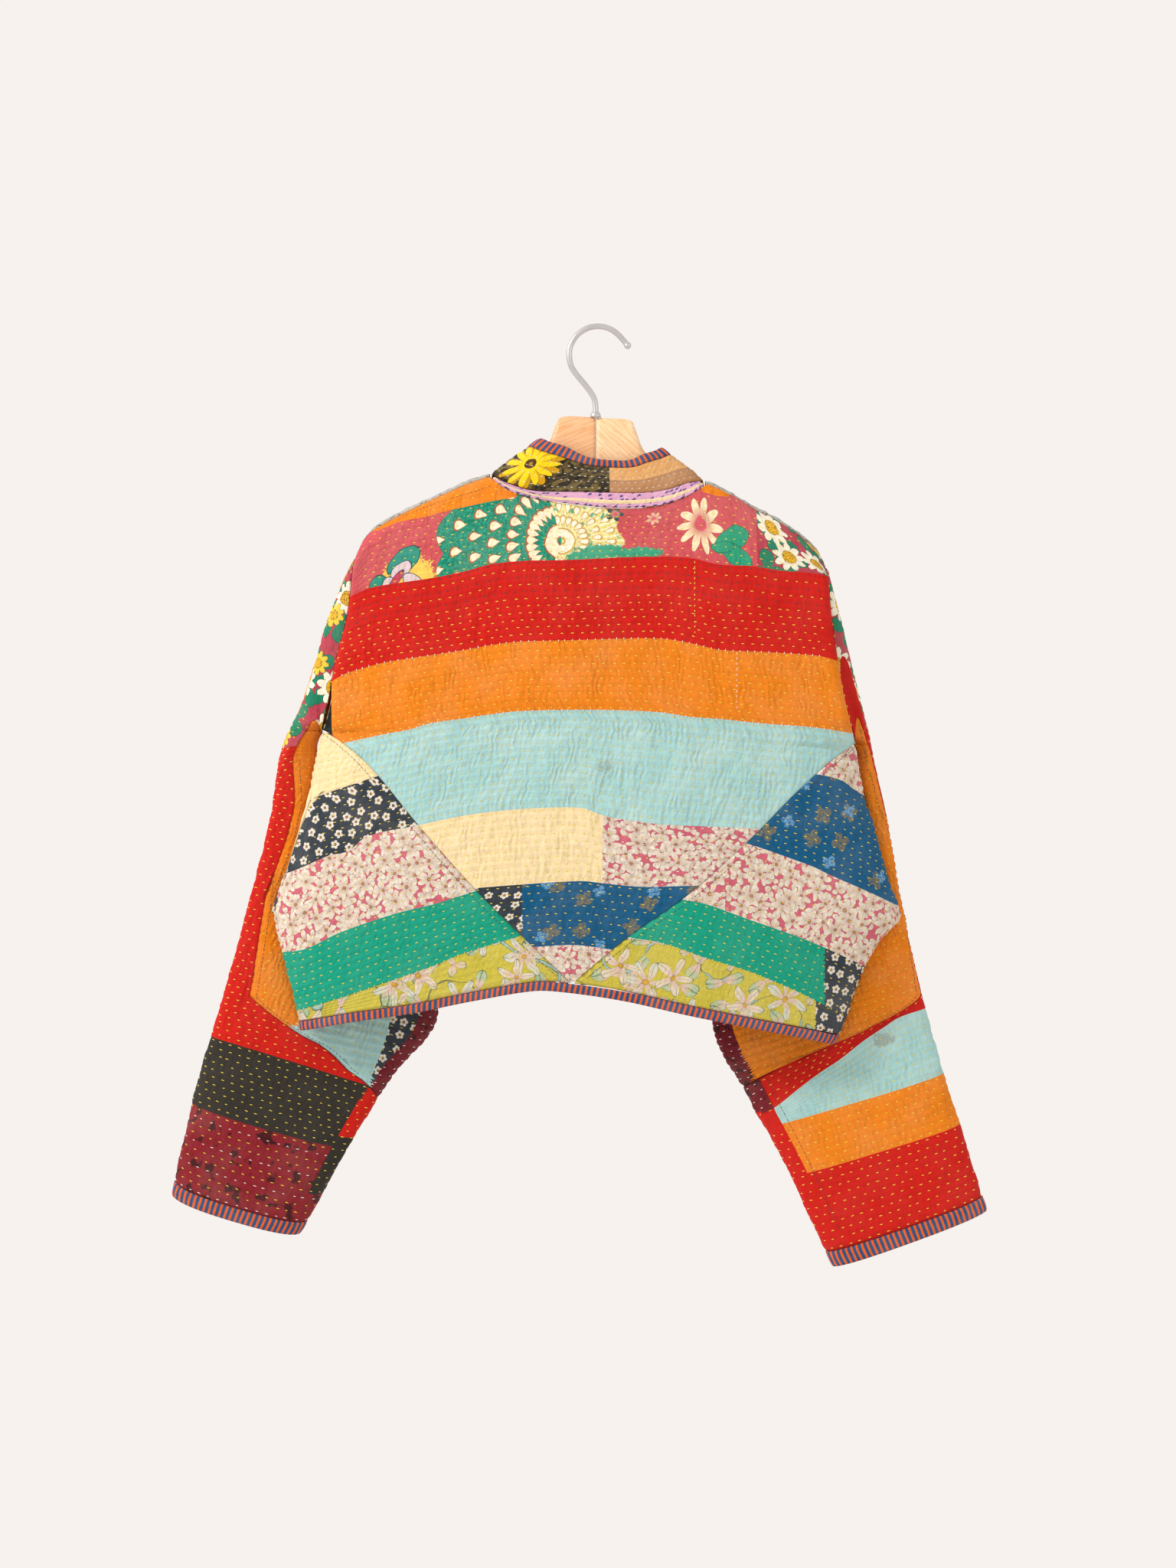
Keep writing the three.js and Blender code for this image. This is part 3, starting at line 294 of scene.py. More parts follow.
class Finish:
    """A material, with short calls that add a node and give back its socket. A cotton is drawn on the
    piece's 'cloth' map, in millimetres, and other finishes on the object, in metres."""

    def __init__(self, name, on_cloth=True):
        self.material = bpy.data.materials.new(name)
        self.material.use_nodes = True
        self.tree = self.material.node_tree
        self.shader = self.tree.nodes["Principled BSDF"]
        if on_cloth:
            metres = self.node("ShaderNodeUVMap", uv_map="cloth").outputs[0]
            self.place = self.stretched(metres, (1000, 1000, 1000))
        else:
            self.place = self.on_object()

    def feed(self, inputs, values):
        """Links or sets some inputs."""
        for key, value in values.items():
            if isinstance(value, bpy.types.NodeSocket):
                self.tree.links.new(value, inputs[key])
            else:
                inputs[key].default_value = value

    def node(self, kind, values=None, **settings):
        new = self.tree.nodes.new(kind)
        for key, value in settings.items():
            setattr(new, key, value)
        self.feed(new.inputs, values or {})
        return new

    def calc(self, operation, a, b=0.0, c=0.0):
        return self.node("ShaderNodeMath", {0: a, 1: b, 2: c}, operation=operation).outputs[0]

    def times(self, a, b):
        return self.calc("MULTIPLY", a, b)

    def plus(self, a, b):
        return self.calc("ADD", a, b)

    def minus(self, a, b):
        return self.calc("SUBTRACT", a, b)

    def on_object(self):
        return self.node("ShaderNodeTexCoord").outputs["Object"]

    def moved(self, place, by):
        return self.node("ShaderNodeVectorMath", {0: place, 1: by}, operation="ADD").outputs[0]

    def stretched(self, place, by):
        return self.node("ShaderNodeVectorMath", {0: place, 1: by}, operation="MULTIPLY").outputs[0]

    def length(self, offset):
        return self.node("ShaderNodeVectorMath", {0: offset}, operation="LENGTH").outputs["Value"]

    def parts(self, place):
        return self.node("ShaderNodeSeparateXYZ", {0: place}).outputs

    def step(self, value, low, high):
        """0 below low, 1 above high, soft between."""
        values = {"Value": value, "From Min": low, "From Max": high}
        return self.node("ShaderNodeMapRange", values, interpolation_type="SMOOTHSTEP").outputs[0]

    def over(self, share, under, top, kind="MIX"):
        """Colour of top laid over under by share."""
        new = self.node("ShaderNodeMix", data_type="RGBA", blend_type=kind, clamp_factor=True)
        self.feed(new.inputs, {0: share, 6: under, 7: top})
        return new.outputs[2]

    def noise(self, wave, detail=2.0, seed=0.0, place=None, output=0):
        """Noise from 0 to 1 with waves of about so many units of the place."""
        values = {"Vector": place or self.place, "W": seed, "Scale": 1.0 / wave, "Detail": detail}
        return self.node("ShaderNodeTexNoise", values, noise_dimensions="4D").outputs[output]

    def streaks(self, scale, detail, seed, place=None):
        """Noise drawn out by its own scale each way."""
        return self.noise(1, detail, seed, self.stretched(place or self.place, scale))

    def bent(self, wave, much, seed=0.0):
        """The place on the cloth, shifted a little by noise, for hand-drawn outlines."""
        shift = self.moved(self.noise(wave, 1.0, seed, output="Color"), (-0.5, -0.5, 0))
        return self.moved(self.place, self.stretched(shift, (much, much, 0)))

    def polar(self, offset, turn=0.0):
        """Distance and angle of an offset, the angle turned by turn."""
        x, y = self.parts(offset)[:2]
        return self.length(offset), self.plus(self.calc("ARCTAN2", y, x), turn)

    def petals(self, far, angle, count, size, waist, slim):
        """How far inside the outline of a flower of so many petals a place is."""
        wave = self.calc("ABSOLUTE", self.calc("COSINE", self.times(angle, count / 2)))
        lobe = self.calc("POWER", wave, slim)
        reach = self.calc("MULTIPLY_ADD", lobe, 1 - waist, waist)
        return self.minus(self.times(reach, size), far)

    def flowers(self, spacing, shift, jitter, place, *shape):
        """Scattered flowers, each turned its own way: how far inside one a place is, the distance and angle
        from its middle, and its random numbers. shape is the petals' count, size, waist and slimness."""
        source = self.moved(place or self.place, shift)
        values = {"Vector": source, "Scale": 1.0 / spacing, "Randomness": jitter}
        cells = self.node("ShaderNodeTexVoronoi", values, voronoi_dimensions="2D").outputs
        offset = self.node("ShaderNodeVectorMath", {0: source, 1: cells["Position"]}, operation="SUBTRACT")
        chance = self.node("ShaderNodeSeparateColor", {0: cells["Color"]}).outputs
        far, angle = self.polar(offset.outputs[0], self.times(chance[0], 6.3))
        return self.petals(far, angle, *shape), far, angle, chance

    def drawn(self, under, inside, fill, ink=None, width=0.5, soft=0.25):
        """A shape laid on a colour, with an inked outline where ink is given."""
        if ink is not None:
            under = self.over(self.step(inside, -width - soft, -width + soft), under, ink)
        return self.over(self.step(inside, -soft, soft), under, fill)

    def dress(self, colour, rough, height, strength, distance):
        """Gives the shader its colour, roughness and relief."""
        values = {"Height": height, "Strength": strength, "Distance": distance}
        relief = self.node("ShaderNodeBump", values).outputs[0]
        self.feed(self.shader.inputs, {"Base Color": colour, "Roughness": rough, "Normal": relief})
        return self.material

    def cloth(self, colour, seed, fade=0.1, crease=0.5, slub=0.07, weave=0.85, ripple=5.2):
        """Finishes a cotton: faded patches, slubs, weave and the fine creases that the sewing draws in, which
        are bump relief and also painted shade that darkens the colour along them.
        """
        patchy = self.step(self.noise(34, 3, seed), 0.35, 0.75)
        colour = self.over(self.times(patchy, fade), colour, dye("fff4e0"))
        lengthwise = self.streaks((0.1, 1.3, 1), 1.5, seed + 2)
        slubs = self.plus(lengthwise, self.streaks((1.3, 0.1, 1), 1.5, seed + 3))
        x, y = self.parts(self.place)[:2]
        sway = self.times(self.noise(17, 2, seed + 5), 19.0)
        folds = self.calc("SINE", self.calc("MULTIPLY_ADD", x, 6.283 / ripple, sway))
        here = self.step(self.streaks((0.07, 0.045, 1), 1, seed + 4), 0.36, 0.66)
        crease_relief_and_shade = self.times(self.calc("MULTIPLY_ADD", folds, 0.5, 0.5), here)
        small = self.streaks((0.3, 0.17, 1), 2, seed + 6)
        shade = self.calc("MULTIPLY_ADD", self.minus(slubs, 1.0), slub * 4, 1.0)
        # Painted shade: the colour is darkened along the fine creases, where their relief would fall in
        # shade.
        shade = self.minus(shade, self.times(crease_relief_and_shade, 0.09 * crease))
        shade = self.calc("MULTIPLY_ADD", self.minus(small, 0.5), 0.16, shade)
        grey = self.node("ShaderNodeCombineXYZ", {0: shade, 1: shade, 2: shade}).outputs[0]
        colour = self.over(1.0, colour, grey, "MULTIPLY")
        crests = [self.calc("SINE", self.times(way, 6.283 / weave)) for way in (x, y)]
        height = self.plus(self.times(self.times(*crests), 0.09), self.times(slubs, 0.12))
        height = self.plus(height, self.times(small, 1.3))
        height = self.minus(height, self.times(crease_relief_and_shade, 0.85 * crease))
        dry = self.calc("MULTIPLY_ADD", self.noise(9, 2, seed + 7), 0.18, 0.78)
        soft = {"Specular IOR Level": 0.12, "Sheen Weight": 0.04, "Sheen Roughness": 0.6}
        self.feed(self.shader.inputs, soft)
        return self.dress(colour, dry, height, 0.8, 0.001)


def plain_cotton(name, code, seed, fade=0.1, stains=(), **more):
    """Plain dyed cotton; stains are (x, z, size, strength) of old marks, in metres on the jacket."""
    made = Finish(name)
    tint = made.over(made.times(made.noise(11, 3, seed + 9), 0.12), dye(code), (0, 0, 0, 1))
    if stains:
        spot = made.on_object()
    for x, z, size, strength in stains:
        flat = made.stretched(made.moved(spot, (-x, 0, -z)), (1, 0, 1.4))
        ragged = made.calc("MULTIPLY_ADD", made.noise(4, 3, seed + 8), -1.6 * size, made.length(flat))
        mark = made.step(ragged, 0.1 * size, -0.35 * size)
        tint = made.over(made.times(mark, strength), tint, dye("75796a"))
    return made.cloth(tint, seed, fade, **more)


def daisy_print():
    """Navy-black cotton with small white daisies in loose rows."""
    made = Finish("daisy_print")
    colour = made.over(made.times(made.noise(4, 2, 3), 0.4), dye("2b323b"), dye("434c58"))
    inside, far = made.flowers(12.4, (0, 0, 0), 0.45, None, 5, 3.9, 0.62, 0.8)[:2]
    colour = made.drawn(colour, inside, dye("dcd3c4"), soft=0.4)
    colour = made.drawn(colour, made.minus(1.25, far), dye("37302b"))
    colour = made.drawn(colour, made.minus(0.6, far), dye("c08a3c"))
    return made.cloth(colour, 11, 0.05)


def blossom_print():
    """Rose cotton strewn with cream lilies, buds and leaves in thin brown outline."""
    made = Finish("blossom_print")
    ink = dye("6d4a4a")
    colour = made.over(made.noise(6, 2, 4), dye("bf5266"), dye("cf6d7a"))
    drawing = made.bent(8, 3.5, 2)
    for spacing, shift, count, size, waist, slim in (
        (12.0, (31, 17, 0), 2, 5.6, 0.06, 1.4),
        (15.0, (11, 44, 0), 3, 6.4, 0.1, 1.3),
        (17.0, (5, 9, 0), 5, 9.6, 0.14, 1.2),
        (25.0, (52, 23, 0), 6, 11.0, 0.16, 1.25),
    ):
        inside, far = made.flowers(spacing, shift, 0.85, drawing, count, size, waist, slim)[:2]
        shade = made.over(made.step(far, 0, size), dye("c8b19f"), dye("e3d8c6"))
        colour = made.drawn(colour, inside, shade, ink, 0.3)
        if count > 3:
            colour = made.drawn(colour, made.minus(size * 0.12, far), dye("b07a56"), ink, 0.3)
    return made.cloth(colour, 12, 0.05)


def sprig_print():
    """Deep blue cotton with blurred little sprigs in dull gold and pale blue."""
    made = Finish("sprig_print")
    colour = made.over(made.noise(5, 3, 6), dye("0a4b72"), dye("125e86"))
    drawing = made.bent(2.2, 3.4, 9)
    for spacing, shift, size, tint in ((38, (0, 0, 0), 8.4, "7c7150"), (46, (47, 13, 0), 6.2, "6a9cc4")):
        inside = made.flowers(spacing, shift, 0.6, drawing, 4, size, 0.45, 0.8)[0]
        broken = made.calc("MULTIPLY_ADD", made.step(made.noise(2.0, 3, 14), 0.40, 0.56), 0.8, 0.2)
        cover = made.times(made.step(inside, -0.6, 0.9), broken)
        colour = made.over(cover, colour, dye(tint))
    return made.cloth(colour, 14, 0.03)


def garden_print():
    """Rose cotton with a green fan of drops, a pale plume, a butterfly, a cream flower and leaves."""
    made = Finish("garden_print")
    colour = made.over(made.noise(3, 3, 21), dye("bd3d4f"), dye("d2615f"))
    place = made.bent(9, 3, 22)

    def at(x, y, turn=0.0):
        return made.polar(made.moved(place, (-x, -y, 0)), turn)

    def drops(under, far, angle, ring, number, fill, rim, size):
        lane = made.calc("DIVIDE", far, ring)
        shift = made.times(made.calc("FLOOR", lane), 0.5)
        share = made.calc("FRACT", made.calc("MULTIPLY_ADD", angle, number / 6.2832, shift))
        sideways = made.times(made.minus(share, 0.5), made.times(far, 6.2832 / number))
        inwards = made.times(made.minus(made.calc("FRACT", lane), 0.55), ring)
        wide = made.calc("MULTIPLY_ADD", inwards, 0.09, 0.62)
        squeezed = made.calc("POWER", made.calc("DIVIDE", sideways, wide), 2.0)
        drawn_out = made.calc("POWER", made.times(inwards, 0.8), 2.0)
        inside = made.minus(size, made.calc("SQRT", made.plus(squeezed, drawn_out)))
        under = made.drawn(under, made.plus(inside, 1.1), rim, soft=0.5)
        return made.drawn(under, inside, fill, soft=0.4)

    def ellipse(x, y, wide, high, turn=0.0):
        offset = made.moved(place, (-x, -y, 0))
        values = {"Vector": offset, "Rotation": (0, 0, turn), "Scale": (wide, high, 1)}
        unit = made.node("ShaderNodeMapping", values, vector_type="TEXTURE").outputs[0]
        return made.times(made.minus(1.0, made.length(unit)), min(wide, high))

    # Green fan with scalloped outline and cream drops
    far, angle = at(-24, -40)
    scallop = made.calc("ABSOLUTE", made.calc("SINE", made.times(angle, 10)))
    left_half = made.step(made.calc("COSINE", angle), 0.25, -0.05)
    fan = made.minus(made.plus(106, made.times(scallop, 8)), far)
    fan = made.minus(fan, made.times(made.minus(1.0, left_half), 200))
    teal = made.over(made.step(made.noise(1.6, 2, 26), 0.42, 0.6), dye("127a62"), dye("2a9a7c"))
    teal = drops(teal, far, angle, 17, 30, dye("f1e3c0"), dye("a2532f"), 4.3)
    colour = made.drawn(colour, fan, teal, dye("2f6f5c"), 0.5)
    # Pale yellow plume with fine rays
    rays = made.calc("SINE", made.times(angle, 60))
    plume = made.over(made.step(rays, -0.2, 0.7), dye("e6d67f"), dye("f0e8c4"))
    plume = made.over(made.step(made.noise(6, 3, 27), 0.55, 0.63), plume, dye("5fa67e"))
    plume = drops(plume, far, angle, 12, 24, dye("f4ecd2"), dye("c9983f"), 3.0)
    frill = made.times(made.calc("COSINE", made.times(angle, 13)), 2.5)
    right = made.step(made.calc("COSINE", angle), -0.42, -0.3)
    shape = made.minus(made.plus(made.minus(52, far), frill), made.times(made.minus(1.0, right), 200))
    colour = made.drawn(colour, shape, plume, soft=0.8)
    # Speckled yellow round with the butterfly on it
    far, angle = at(-163, -62)
    speck = made.minus(37, made.calc("MULTIPLY_ADD", made.noise(1.5, 2, 31), 22, far))
    colour = made.drawn(colour, speck, dye("ecc65a"), soft=1.2)
    for x, y, wide, high, turn, tint in (
        (-166, -40, 15, 9.5, 0.5, "2d8f7b"), (-187, -61, 9.5, 13, 0.2, "2d8f7b"),
        (-168, -47, 9.5, 6, 0.5, "d8c3c8"), (-178, -60, 6.5, 9, 0.2, "d8c3c8"),
        (-157, -58, 5.5, 10, 0.9, "d8c3c8"),
    ):
        colour = made.drawn(colour, ellipse(x, y, wide, high, turn), dye(tint), dye("2b3b3c"), 0.6)
    colour = made.drawn(colour, ellipse(-172, -54, 3.0, 8.5, -0.7), dye("c2475a"), dye("2b3b3c"), 0.5)
    # Cream flower, leaves and a dark bud to the right
    for x, y, count, size, heart, tint in (
        (98, -31, 10, 21, 5.5, "f0dfb6"), (22, -12, 5, 8, 2.5, "39524d"), (56, -18, 7, 7, 2.0, "e9b7a0"),
    ):
        far, angle = at(x, y)
        inside = made.petals(far, angle, count, size, 0.42, 1.1)
        shade = made.over(made.step(far, size * 0.25, size * 0.7), dye("d99a86"), dye(tint))
        colour = made.drawn(colour, inside, shade, dye("b06a4c"), 0.4)
        colour = made.drawn(colour, made.minus(heart, far), dye("cf5a64"), soft=1.0)
    for x, y, wide, high, turn in ((126, -38, 17, 8, 0.5), (131, -50, 14, 7, -0.5), (118, -44, 10, 4, 0.1)):
        colour = made.drawn(colour, ellipse(x, y, wide, high, turn), dye("2c9a74"), dye("1d6b52"), 0.4)
    for x, y, wide, high in ((12, -50, 22, 7), (45, -53, 20, 6), (-5, -56, 16, 8)):
        ragged = made.calc("MULTIPLY_ADD", made.noise(3, 2, 33), 6, -3)
        colour = made.drawn(colour, made.plus(ellipse(x, y, wide, high), ragged), dye("3c9f7c"), soft=0.8)
    return made.cloth(colour, 15, 0.05)


def posy_print():
    """Crimson cotton with white and yellow daisies and dark green leaves."""
    made = Finish("posy_print")
    colour = made.over(made.noise(6, 3, 41), dye("a82f46"), dye("bd4854"))
    drawing = made.bent(6, 2.5, 42)
    leaves = made.flowers(30, (8, 3, 0), 0.8, drawing, 3, 17, 0.1, 0.9)[0]
    colour = made.drawn(colour, leaves, dye("1f7d5d"), dye("12433c"), 0.5)
    for spacing, shift, size, tint in ((41, (13, 21, 0), 15.5, "efe6cf"), (63, (61, 9, 0), 11, "e9c43c")):
        inside, far = made.flowers(spacing, shift, 0.7, drawing, 9, size, 0.6, 0.9)[:2]
        colour = made.drawn(colour, inside, dye(tint), dye("22423e"), 0.5)
        ring = made.over(made.step(made.noise(1.3, 2, 44), 0.5, 0.6), dye("e3b022"), dye("8a5a1c"))
        colour = made.drawn(colour, made.minus(size * 0.4, far), ring, dye("3c4b2c"), 0.4)
    return made.cloth(colour, 16, 0.06)


RED = plain_cotton("red_cotton", "cb1b12", 31, 0.01, crease=0.45)
ORANGE = plain_cotton("orange_cotton", "ea8216", 32, 0.04, crease=0.9)
OLD_MARKS = ((0.006, -0.388, 0.011, 0.3), (0.254, -0.632, 0.012, 0.55))
SKY = plain_cotton("sky_cotton", "a4cfcc", 33, 0.12, OLD_MARKS, crease=1.0)
CREAM = plain_cotton("cream_cotton", "f2d9a6", 34, 0.12, crease=0.7)
POSY = posy_print()
DAISY = daisy_print()
BLOSSOM = blossom_print()
SPRIG = sprig_print()
BACK_FINISHES = [ORANGE, garden_print(), POSY, RED, SKY, CREAM, BLOSSOM, DAISY, SPRIG]
ROSE_SPLIT, CREAM_SPLIT, DAISY_SPLIT = 140.0, 4.0, -67.0
SEAM_DROP = 3.4

shoulder_seam = curve([
    (-96, -131.4), (-82, -143), (-62, -151), (-28, -157), (13, -161), (53, -159), (77, -151), (87, -145),
    (96.5, -138.2),
])
SLANT = {
    "left": curve([
        (-357, -244), (-364, -231), (-380, -210), (-396, -194), (-441, -157),
        (-497, -107), (-536, -68), (-578, -24),
    ]),
    "right": curve([(-369, 227), (-381, 209), (-411, 175), (-456, 130), (-504, 75), (-538, 27), (-578, -22)]),
}


def top_of_back(x):
    """Upper edge of the back panel: shoulder seam, neck seam, shoulder seam."""
    seam = ridge(x) - SEAM_DROP
    return np.where((x > -96) & (x < 96.5), shoulder_seam(x), seam)


def back_seam(side, z):
    """Edge of the back panel at the armhole and, below the underarm, along the slanted seam."""
    armhole = EDGE[side](z) - OUTWARDS[side] * GAP / 2
    slant = SLANT[side](z) - OUTWARDS[side] * GAP / 2
    return np.where(z > UNDERARM[side], armhole, slant)


yoke_end = curve([
    (-230, -190), (-193, -180), (-176, -173), (-149, -168), (-136, -164), (-109, -158), (-95, -155),
    (-68, -150), (-40, -141), (60, -136), (84, -142), (96, -147.5), (110, -150.5), (122, -149),
    (150, -140),
])
# Borders of the back's strips, from the top edge to the point at the hem
back_borders = [
    top_of_back,
    lambda x: np.minimum(yoke_end(x), top_of_back(x) - 1.0),
    curve([(-217, -238), (-203, -232), (-190, -229), (-149, -223), (-122, -218), (-95, -211), (-68, -208),
           (-28, -207), (40, -204), (80, -205), (107, -211), (134, -212), (161, -216),
           (188, -218), (205, -221)]),
    curve([(-232, -312), (-223, -307), (-203, -301), (-187, -297), (-149, -291), (-122, -287), (-95, -282),
           (-68, -279), (-28, -278), (53, -276), (80, -280), (107, -286), (147, -288),
           (193, -291), (210, -295)]),
    curve([(-225, -368), (-187, -360), (-165, -356), (-149, -351), (-122, -347), (-95, -343), (-68, -340),
           (-1, -339), (53, -341), (80, -345), (107, -347), (147, -351), (188, -354), (223, -359)]),
    curve([(-157, -440), (-135, -435), (-108, -430), (-81, -427), (-54, -425), (-14, -425), (3, -431),
           (23, -435), (53, -439), (93, -441), (140, -443)]),
    curve([(-107, -495), (-54, -491), (-14, -489), (5, -491), (39, -494), (82, -493)]),
    curve([(-60, -547), (-21, -545), (11, -549)]),
    lambda x: -577.0 + 0 * x,
]


def back_patch(strip, x, height):
    """Number in BACK_FINISHES of the patch at a place of a strip of the back panel."""
    choices = {
        0: np.where(height > 2.5, 0, np.where(x < ROSE_SPLIT, 1, 2)),
        1: np.where(x < ROSE_SPLIT, 1, 2), 2: 3, 3: 0, 4: 4,
        5: np.where(x < CREAM_SPLIT, 5, 6), 6: np.where(x < DAISY_SPLIT, 7, 8), 7: 6,
    }
    return choices[strip]


STRIP_HEIGHTS = [20, 54, 72, 60, 82, 60, 54, 31]
BACK_COLUMNS = 189


def grid_of_back():
    """Places (x, z) of the back panel's grid, its stitch rows and the patch of each cell."""
    rows = rows_between(back_borders, STRIP_HEIGHTS)
    across = np.linspace(0, 1, BACK_COLUMNS)
    grid, patch, sewn = [], [], []
    for strip, share, stitched in rows:
        def height(x):
            return mix(back_borders[strip](x), back_borders[strip + 1](x), share)

        ends = []
        for side, low, high in (("left", -235.0, 0.0), ("right", -23.0, 232.0)):
            ends.append(float(crossing(lambda x: x - back_seam(side, height(x)), low, high)))
        x = mix(ends[0], ends[1], across)
        split = {1: [ROSE_SPLIT], 5: [CREAM_SPLIT], 6: [DAISY_SPLIT]}.get(strip, [])
        x = snap(x, split)
        grid.append(np.stack([x, height(x)], -1))
        middle = (x[1:] + x[:-1]) / 2
        thick = back_borders[strip](middle) - back_borders[strip + 1](middle)
        patch.append(back_patch(strip, middle, thick) + 0 * middle.astype(int))
        sewn.append(stitched)
    return np.array(grid), np.array(patch[:-1]), np.array(sewn)


places, patches, stitched = grid_of_back()
faces = both_faces(body_point, places[..., 0], places[..., 1], -1)
spread = lay_flat(faces[0], BACK_COLUMNS // 2)
piece = quilt("back_panel", faces, spread, stitched[:, None] * 1.0, 1, patches, BACK_FINISHES, stitched)
fix_cloth(piece, "back_panel")


# Side pieces: two pieces of patchwork from the underarm to the hem, each folded round the side of the
# jacket, sewn to the back panel along a slanted seam and to the front along a straight one.


def meadow_print():
    """Yellow-green cotton with large pale pointed flowers on curving stems in thin dark outline."""
    made = Finish("meadow_print")
    ink = dye("3d4a4c")
    colour = made.over(made.noise(20, 2, 5), dye("b9ac35"), dye("cabb4c"))
    drawing = made.bent(14, 8, 6)
    stem = made.calc("ABSOLUTE", made.minus(made.noise(40, 0.3, 12, drawing), 0.5))
    held = made.step(made.noise(41, 0.5, 21), 0.47, 0.5)
    inside = made.minus(made.times(held, 0.85), made.times(stem, 52))
    colour = made.drawn(colour, made.minus(inside, 0.1), dye("9dbcae"), ink, 0.32)
    for spacing, shift, count, size, waist, slim, tint in (
        (36, (9, 5, 0), 2, 17, 0.02, 4.0, "a9bb92"),
        (43, (70, 33, 0), 3, 11, 0.08, 2.0, "cbbf9a"),
        (52, (18, 40, 0), 6, 20, 0.1, 1.8, "cccdb8"),
        (66, (91, 12, 0), 5, 17, 0.12, 1.7, "d8cbb2"),
    ):
        inside, far, angle = made.flowers(spacing, shift, 0.7, drawing, count, size, waist, slim)[:3]
        shade = made.over(made.step(far, size * 0.15, size * 0.8), dye("d6b7a4"), dye(tint))
        vein = made.step(made.calc("COSINE", made.times(angle, count * 3)), 0.93, 1.0)
        shade = made.over(made.times(vein, 0.6), shade, ink)
        colour = made.drawn(colour, inside, shade, ink, 0.5)
        if count > 3:
            colour = made.drawn(colour, made.minus(size * 0.12, far), dye("c99a34"), ink, 0.3)
    return made.cloth(colour, 13, 0.05)


GREEN = plain_cotton("green_cotton", "119c7e", 35, 0.02, crease=0.5)
MEADOW = meadow_print()
SIDE_FINISHES = [CREAM, DAISY, BLOSSOM, GREEN, MEADOW, SPRIG]
HEM_FOLD = {"left": -614, "right": -626}
back_hem = curve([
    (-265, -614), (-217, -605), (-162, -597), (-108, -586), (-55, -577), (-28, -578),
    (26, -586), (80, -598), (134, -609), (189, -620), (216, -626),
])
front_hem = curve([
    (-265, -614), (-200, -601), (-110, -584), (-20, -574), (80, -593), (150, -609), (216, -626),
])
slant_height = {
    side: curve([(float(SLANT[side](z)), z) for z in np.linspace(UNDERARM[side] - 0.5, -577.5, 40)])
    for side in SLANT
}
# Lower border of each strip, its height at the fold, and its finish, or two finishes and where they meet
SIDE_STRIPS = {
    "left": [
        (curve([(-258, -428), (-255, -419), (-242, -413), (-218, -405), (-194, -397)]), 58, 0),
        (curve([(-278, -484), (-260, -477), (-237, -467), (-220, -463), (-203, -450), (-157, -440)]), 54, 1),
        (curve([(-281, -553), (-257, -549), (-228, -535), (-179, -518), (-143, -509), (-105, -497)]), 68, 2),
        (curve([(-268, -605), (-251, -600), (-214, -588), (-143, -563), (-122, -554), (-68, -537)]), 50, 3),
        (lambda x: back_hem(x), 36, 4),
    ],
    "right": [
        (curve([(190, -395), (202, -397), (215, -401), (227, -409), (237, -415)]), 42, 2),
        (curve([
            (130, -456), (146, -461), (171, -470), (190, -477), (202, -483), (243, -501), (266, -512),
        ]), 84, 5),
        (curve([(72, -505), (94, -509), (133, -523), (178, -539), (204, -550), (236, -565)]), 54, 2),
        (curve([
            (25, -538), (58, -544), (93, -556), (134, -569), (172, -585), (194, -596), (216, -607),
        ]), 44, (3, 1, 200.0)),
        (lambda x: back_hem(x), 38, (4, 1, 192.0)),
    ],
}
BACK_SHARE = np.sin(np.linspace(0, 1, 61) * np.pi / 2)
FRONT_SHARE = 1 - np.cos(np.linspace(0, 1, 15)[1:] * np.pi / 2)
SIDE_TOP = 1.5
FRONT_SEAM = (8.0, 62.0)
POINT_TURN = 21.0


def front_seam(side, z):
    """Place of the seam between a side piece and a front, at a height."""
    share = (UNDERARM[side] - SIDE_TOP - z) / (UNDERARM[side] - HEM_FOLD[side])
    return EDGE[side](z) - OUTWARDS[side] * mix(*FRONT_SEAM, np.clip(share, 0, 1.05))


def side_piece(side):
    """Grid of a side piece from its back seam round the fold to its front seam."""
    out = OUTWARDS[side]
    strips = SIDE_STRIPS[side]
    borders = [lambda x: UNDERARM[side] - SIDE_TOP + 0 * x] + [row[0] for row in strips]
    grid, patch, sewn = [], [], []
    for strip, share, stitched in rows_between(borders, [row[1] for row in strips]):
        def height(x):
            return mix(borders[strip](x), borders[strip + 1](x), share)

        fold_z = float(crossing(lambda z: z - height(EDGE[side](z)), -645.0, -350.0))
        fold_x = float(EDGE[side](fold_z))

        def miss(inwards):
            return height(-out * inwards) - slant_height[side](-out * inwards)

        seam = float(crossing(miss, -abs(fold_x), out * POINT_TURN))
        seam_x = -out * seam + out * GAP / 2
        x_back = mix(seam_x, fold_x, BACK_SHARE)
        x_front = mix(fold_x, float(front_seam(side, fold_z)) + out * GAP / 2, FRONT_SHARE)
        to_hem = np.clip((UNDERARM[side] - fold_z) / (UNDERARM[side] - HEM_FOLD[side]), 0, 1) ** 8
        z_front = fold_z + (front_hem(x_front) - HEM_FOLD[side]) * to_hem
        kind = strips[strip][2]
        if isinstance(kind, tuple):
            x_back = snap(x_back, [kind[2]])
            middle = (x_back[1:] + x_back[:-1]) / 2
            chosen = np.where(middle < kind[2], kind[0], kind[1])
            chosen = np.concatenate([chosen, np.full(len(FRONT_SHARE), kind[1])])
        else:
            chosen = np.full(len(BACK_SHARE) - 1 + len(FRONT_SHARE), kind)
        z_back = height(x_back)
        z_back[-1] = fold_z
        facing = np.concatenate([-np.ones(len(x_back)), np.ones(len(x_front))])
        x, z = np.concatenate([x_back, x_front]), np.concatenate([z_back, z_front])
        grid.append(np.stack([x, z, facing], -1))
        patch.append(chosen)
        sewn.append(stitched)
    return np.array(grid), np.array(patch[:-1]), np.array(sewn)


